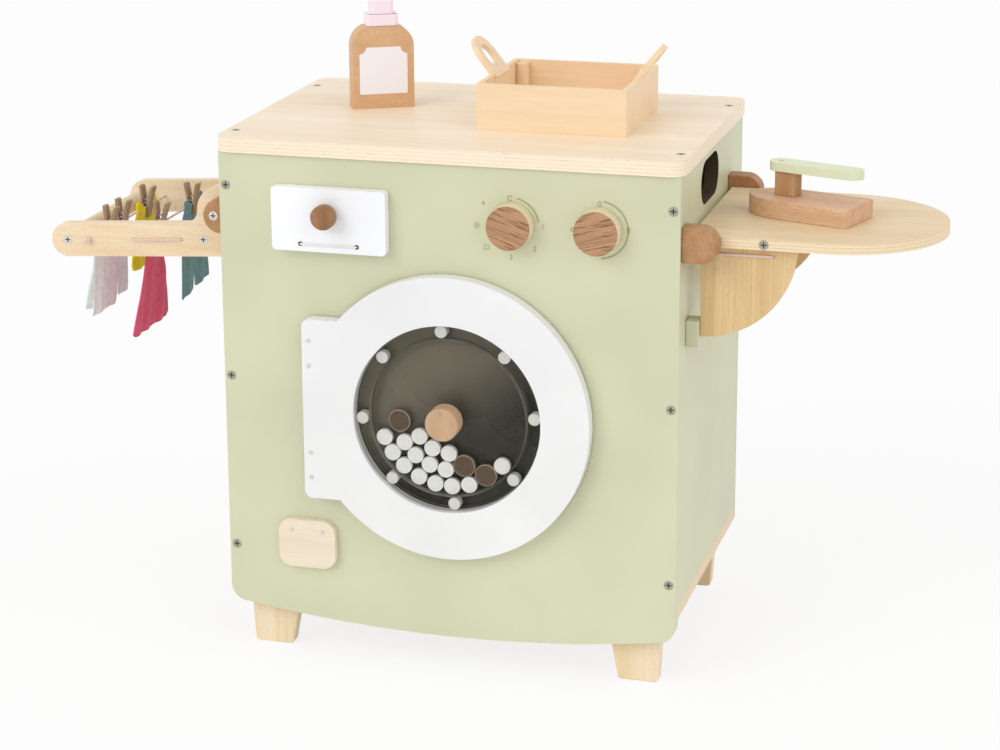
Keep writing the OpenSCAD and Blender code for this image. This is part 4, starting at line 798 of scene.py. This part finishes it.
# The soap flap hangs on a thinner white cord that runs through two holes. A ring of dark wire
# lines each hole.
FLAP_CORD_RADIUS = 0.0010
EYELET_RADIUS = 0.0021
EYELET_WIRE = 0.0007
EYELET_STEPS = 24
WIRE_SIDES = 8
flap_low, flap_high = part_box("flap_cord")
flap_y = flap_low.y + FLAP_CORD_RADIUS - panel_middle.y
flap_z = (flap_low.z + flap_high.z) / 2
flap_left = flap_low.x + FLAP_CORD_RADIUS - panel_middle.x
flap_right = flap_high.x - FLAP_CORD_RADIUS - panel_middle.x
flap_back = flap_high.y - panel_middle.y
white_cotton = satin_paint("white_cotton", (238, 237, 236), roughness=0.8)
lay_cord("flap_tie", "flap_cord", "soap_flap", FLAP_CORD_RADIUS,
         [(flap_left, flap_back, flap_z), (flap_left, flap_y, flap_z),
          (flap_right, flap_y, flap_z), (flap_right, flap_back, flap_z)], [], finish=white_cotton)
eyelets = bmesh.new()
for middle_x in (flap_left, flap_right):
    rows = []
    for step in range(EYELET_STEPS):
        turn = step * math.tau / EYELET_STEPS
        ring = []
        for part in range(WIRE_SIDES):
            lift = part * math.tau / WIRE_SIDES
            reach = EYELET_RADIUS - EYELET_WIRE + EYELET_WIRE * math.cos(lift)
            depth = flap_y + FLAP_CORD_RADIUS - EYELET_WIRE * math.sin(lift) * 0.5
            x = middle_x + reach * math.cos(turn)
            z = flap_z + reach * math.sin(turn)
            ring.append(eyelets.verts.new(Vector((x, depth, z)) + panel_middle))
        rows.append(ring)
    for step, ring in enumerate(rows):
        ahead = rows[(step + 1) % EYELET_STEPS]
        for part in range(WIRE_SIDES):
            turned = (part + 1) % WIRE_SIDES
            eyelets.faces.new((ring[part], ring[turned], ahead[turned], ahead[part])).smooth = True
bmesh.ops.recalc_face_normals(eyelets, faces=eyelets.faces)
eyelet_mesh = bpy.data.meshes.new("flap_eyelets")
eyelets.to_mesh(eyelet_mesh)
eyelets.free()
eyelet_mesh.materials.append(steel("eyelet_dark", (84, 82, 80), 0.4))
flap_eyelets = bpy.data.objects.new("flap_eyelets", eyelet_mesh)
bpy.context.scene.collection.objects.link(flap_eyelets)
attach(flap_eyelets, "soap_flap")

# A short pink cord lies across the ironing board's front cheek. It goes through two holes and
# is knotted behind them.
CHEEK_FRONT = 0.0294
CHEEK_BACK = 0.0395
KNOT_HALF = 0.0028
cheek_low, cheek_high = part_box("cheek_cord")
cheek_z = (cheek_low.z + cheek_high.z) / 2
cheek_left = cheek_low.x + KNOT_HALF - panel_middle.x
cheek_right = cheek_high.x - KNOT_HALF - panel_middle.x
lay_cord("cheek_tie", "cheek_cord", "board", CORD_RADIUS,
         [(cheek_left, CHEEK_BACK, cheek_z), (cheek_left, CHEEK_FRONT, cheek_z),
          (cheek_right, CHEEK_FRONT, cheek_z), (cheek_right, CHEEK_BACK, cheek_z)],
         [(cheek_left, CHEEK_BACK + 0.0010, cheek_z), (cheek_right, CHEEK_BACK + 0.0010, cheek_z)])

# Clothes: each is cut from one sheet of felt and hangs from the line in wooden pegs. It leans
# out a little and falls in soft folds, and its upper corners stand up beside the pegs.
FELT_THICK = 0.0016
FELT_STEP = 0.0022
FELT_ROUND = 0.0022
FOLD_DEPTH = 0.0022
FOLD_WIDTH = 0.019
FOLD_GROWS_OVER = 0.06
WAVE_DEPTH = 0.0014
PEG_HALF = 0.005
CORD_ROOM = 0.0021


def felt(name, tint):
    """Pressed wool: matted fibres, a soft sheen and small lumps."""
    finish = Finish(name)
    at = finish.node("TexCoord", out="Object")
    fibre = finish.speckle(at, 0.0008, detail=4, rough=0.7)
    lump = finish.speckle(at, 0.007, detail=2)
    deep = tuple(0.80 * part for part in colour(*tint)[:3]) + (1,)
    pale = tuple(min(1.12 * part + 0.01, 1) for part in colour(*tint)[:3]) + (1,)
    body = finish.mix(finish.spread(0.7 * fibre + 0.3 * lump, 0.35, 0.65), deep, pale)
    bump = finish.node("Bump", {}, {"Strength": 0.5, "Distance": 0.0004, "Height": fibre})
    return finish.close({
        "Base Color": body,
        "Roughness": 0.95,
        "Normal": bump,
        "Sheen Weight": 0.12,
        "Sheen Roughness": 0.5,
        "Specular IOR Level": 0.15,
    })


def cut_felt(name, outline):
    """A flat mesh with this outline and fine points inside it, in metres."""
    corners = [Vector(corner) / 1000 for corner in outline]
    edge = []
    for i, corner in enumerate(corners):
        before = corners[i - 1] - corner
        after = corners[(i + 1) % len(corners)] - corner
        trim = min(FELT_ROUND, 0.3 * before.length, 0.3 * after.length)
        start = corner + before.normalized() * trim
        end = corner + after.normalized() * trim
        for share in (0, 0.33, 0.67, 1):
            rest = 1 - share
            edge.append(start * rest ** 2 + corner * 2 * share * rest + end * share ** 2)
    dense = []
    for i, place in enumerate(edge):
        ahead = edge[(i + 1) % len(edge)]
        count = max(1, round((ahead - place).length / FELT_STEP))
        dense += [place.lerp(ahead, step / count) for step in range(count)]
    spots = list(dense)
    low = Vector((min(p.x for p in dense), min(p.y for p in dense)))
    high = Vector((max(p.x for p in dense), max(p.y for p in dense)))
    across = math.ceil((high.x - low.x) / FELT_STEP)
    down = math.ceil((high.y - low.y) / FELT_STEP)
    for row in range(down):
        for column in range(across):
            offset = 0.5 if row % 2 else 0.0
            spots.append(low + Vector((column + offset, row + 0.5)) * FELT_STEP)
    rim = [(i, (i + 1) % len(dense)) for i in range(len(dense))]
    points, lines, faces, *_ = delaunay_2d_cdt(spots, rim, [], 1, 0.00001)
    cut = bmesh.new()
    for point in points:
        cut.verts.new((0, point.x, point.y))
    cut.verts.ensure_lookup_table()
    for face in faces:
        cut.faces.new([cut.verts[i] for i in face])
    loose = [vert for vert in cut.verts if not vert.link_faces]
    bmesh.ops.delete(cut, geom=loose, context="VERTS")
    bmesh.ops.recalc_face_normals(cut, faces=cut.faces)
    return cut


def hang_felt(node, run, lean, pegs, outline, tint, body):
    """Bends the flat felt into folds, leans it about the line and gives it its thickness."""
    cut = cut_felt(node, outline)
    area = sum(face.calc_area() for face in cut.faces)
    turn = Matrix.Rotation(math.radians(lean), 3, "Y")
    level = Vector((line_runs[run], 0, LINE_HEIGHT))
    line_place = RACK_PIVOT + Matrix.Rotation(-RACK_SLOPE, 3, "Y") @ (level - RACK_PIVOT)
    for vert in cut.verts:
        y = vert.co.y
        z = vert.co.z
        free = max(0, min(abs(y - peg / 1000) for peg in pegs) - PEG_HALF)
        deep = min(1.0, max(0.0, -z / FOLD_GROWS_OVER))
        fold = FOLD_DEPTH * (0.5 + 0.3 * deep) * (1 - math.cos(math.tau * free / FOLD_WIDTH)) / 2
        beside = CORD_ROOM * min(1.0, free / 0.004) * math.exp(-((z / 0.006) ** 2))
        wave = WAVE_DEPTH * deep * noise.noise(Vector((y * 32, z * 18, run * 7.0 + lean)))
        vert.co.x = max(fold * min(1.0, 0.3 + deep * 2), beside) + wave
        vert.co = turn @ vert.co + line_place + panel_middle
    sheet = bpy.data.meshes.new(node + "_felt")
    cut.to_mesh(sheet)
    cut.free()
    for face in sheet.polygons:
        face.use_smooth = True
    holder = bpy.data.objects.new(node + "_flat", sheet)
    bpy.context.scene.collection.objects.link(holder)
    sheet.materials.append(felt(node + "_felt", tint))
    body_thick = holder.modifiers.new("thickness", "SOLIDIFY")
    body_thick.thickness = FELT_THICK
    body_thick.offset = 0
    body_thick.use_even_offset = True
    piece = settle(holder, node + "_cloth")
    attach(piece, body)
    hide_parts(node)
    return piece


hang_felt("shirt", 0, 6, (68, 95), (
    (42, -1.6), (100, -1.6), (107, -34), (111, -69), (92.5, -70), (91.5, -42), (89, -75),
    (39, -76), (37, -44), (33, -66), (21.5, -64), (34, -20),
), (236, 250, 255), "hung_shirt")
hang_felt("bib", 0, 5, (151,), (
    (124, -1), (126, 8), (131, 9), (139, 2), (145, -1.6), (157, -1.6), (160, 4), (163, 9),
    (168, 9), (169, -1), (172, -48), (165, -56), (126, -56), (119, -50),
), (255, 222, 0), "hung_bib")
hang_felt("dress", 1, 7, (84,), (
    (60, -1.6), (93, -1.6), (95, -33), (110, -67), (115, -90), (112, -95), (44, -96.5),
    (41.5, -94), (50, -50), (56, -23),
), (226, 86, 126), "hung_dress")
hang_felt("trousers", 1, 1, (160.5,), (
    (137, -1), (139, 6), (145, 7), (155, -1.6), (166, -1.6), (170, 8), (180, 9), (186, -1),
    (192, -75), (164, -79), (161, -52), (157, -80), (130, -84),
), (116, 152, 168), "hung_trousers")

# Ironing board: birch plywood with a round end, on two quarter-disc cheeks glued up
# from narrow strips of pine. Screws through the edge hold them.
board_low, board_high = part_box("ironing_board")
birch_board = veneer("birch_board", (243, 222, 188), (226, 200, 160), "X", streak=0.007, length=0.25,
                     layers=("Z", board_low.z, 0.0015))
ease("ironing_board", 0.0013, birch_board)
cheek_wood = veneer("cheek_wood", (232, 202, 154), (206, 170, 116), "Z", streak=0.005, length=0.2)
ease("board_cheeks", 0.001, cheek_wood)

# Iron: a beech sole sawn to a point, and a post that is glued into it. On the post sits a flat
# handle with a hanging hole, sprayed a pale green.
ease("iron_sole", 0.0009, beech_iron)
ease("iron_post", 0.0007, veneer("beech_post", (204, 164, 122), (182, 138, 98), "Z", streak=0.003,
                                length=0.05, pores=0.5))
iron_handle = ease("iron_handle", 0.0012, satin_paint("handle_green", (222, 228, 196)))
iron_handle.modifiers.remove(iron_handle.modifiers["flat"])

# Basket: thin birch boards, glued at the corners round four posts. A ring cut from the same
# board leans out at each end as a handle.
ease("basket", 0.0007, veneer("basket_birch", (246, 222, 188), (240, 210, 172), "X", streak=0.008,
                             length=0.16, pores=0.06))

# Soap bottle: a flat beech block with a painted cap. A plain paper label is glued on its front,
# and its face is the foremost one of the block.
LABEL_THICK = 0.0002
label_paper = Finish("label_paper")
label_at = label_paper.node("TexCoord", out="Object")
label_fibre = label_paper.speckle(label_at, 0.0007, detail=3)
label_cloud = label_paper.speckle(label_at, 0.012, detail=1)
label_pressed = {"Strength": 0.1, "Distance": 0.0001, "Height": label_fibre}
label_bump = label_paper.node("Bump", {}, label_pressed)
label_skin = label_paper.close({
    "Base Color": label_paper.mix(label_cloud, colour(241, 240, 246), colour(246, 240, 247)),
    "Roughness": 0.55 + 0.1 * label_fibre,
    "Normal": label_bump,
})
bottle = ease("soap_bottle", 0.0005, veneer("beech_bottle", (222, 182, 142), (208, 164, 122), "X",
                                            streak=0.004, length=0.08, pores=0.15))
bottle.data.materials.append(label_skin)
bottle.modifiers.remove(bottle.modifiers["flat"])
fronts = [face for face in bottle.data.polygons if face.normal.y < -0.5]
front_way = max(fronts, key=lambda face: face.area).normal.copy()
foremost = max(front_way.dot(vert.co) for vert in bottle.data.vertices)
for face in bottle.data.polygons:
    corners = [bottle.data.vertices[i].co for i in face.vertices]
    if min(front_way.dot(corner) for corner in corners) > foremost - LABEL_THICK:
        face.material_index = 1
ease("bottle_cap", 0.0012, satin_paint("cap_pink", (246, 229, 238)))
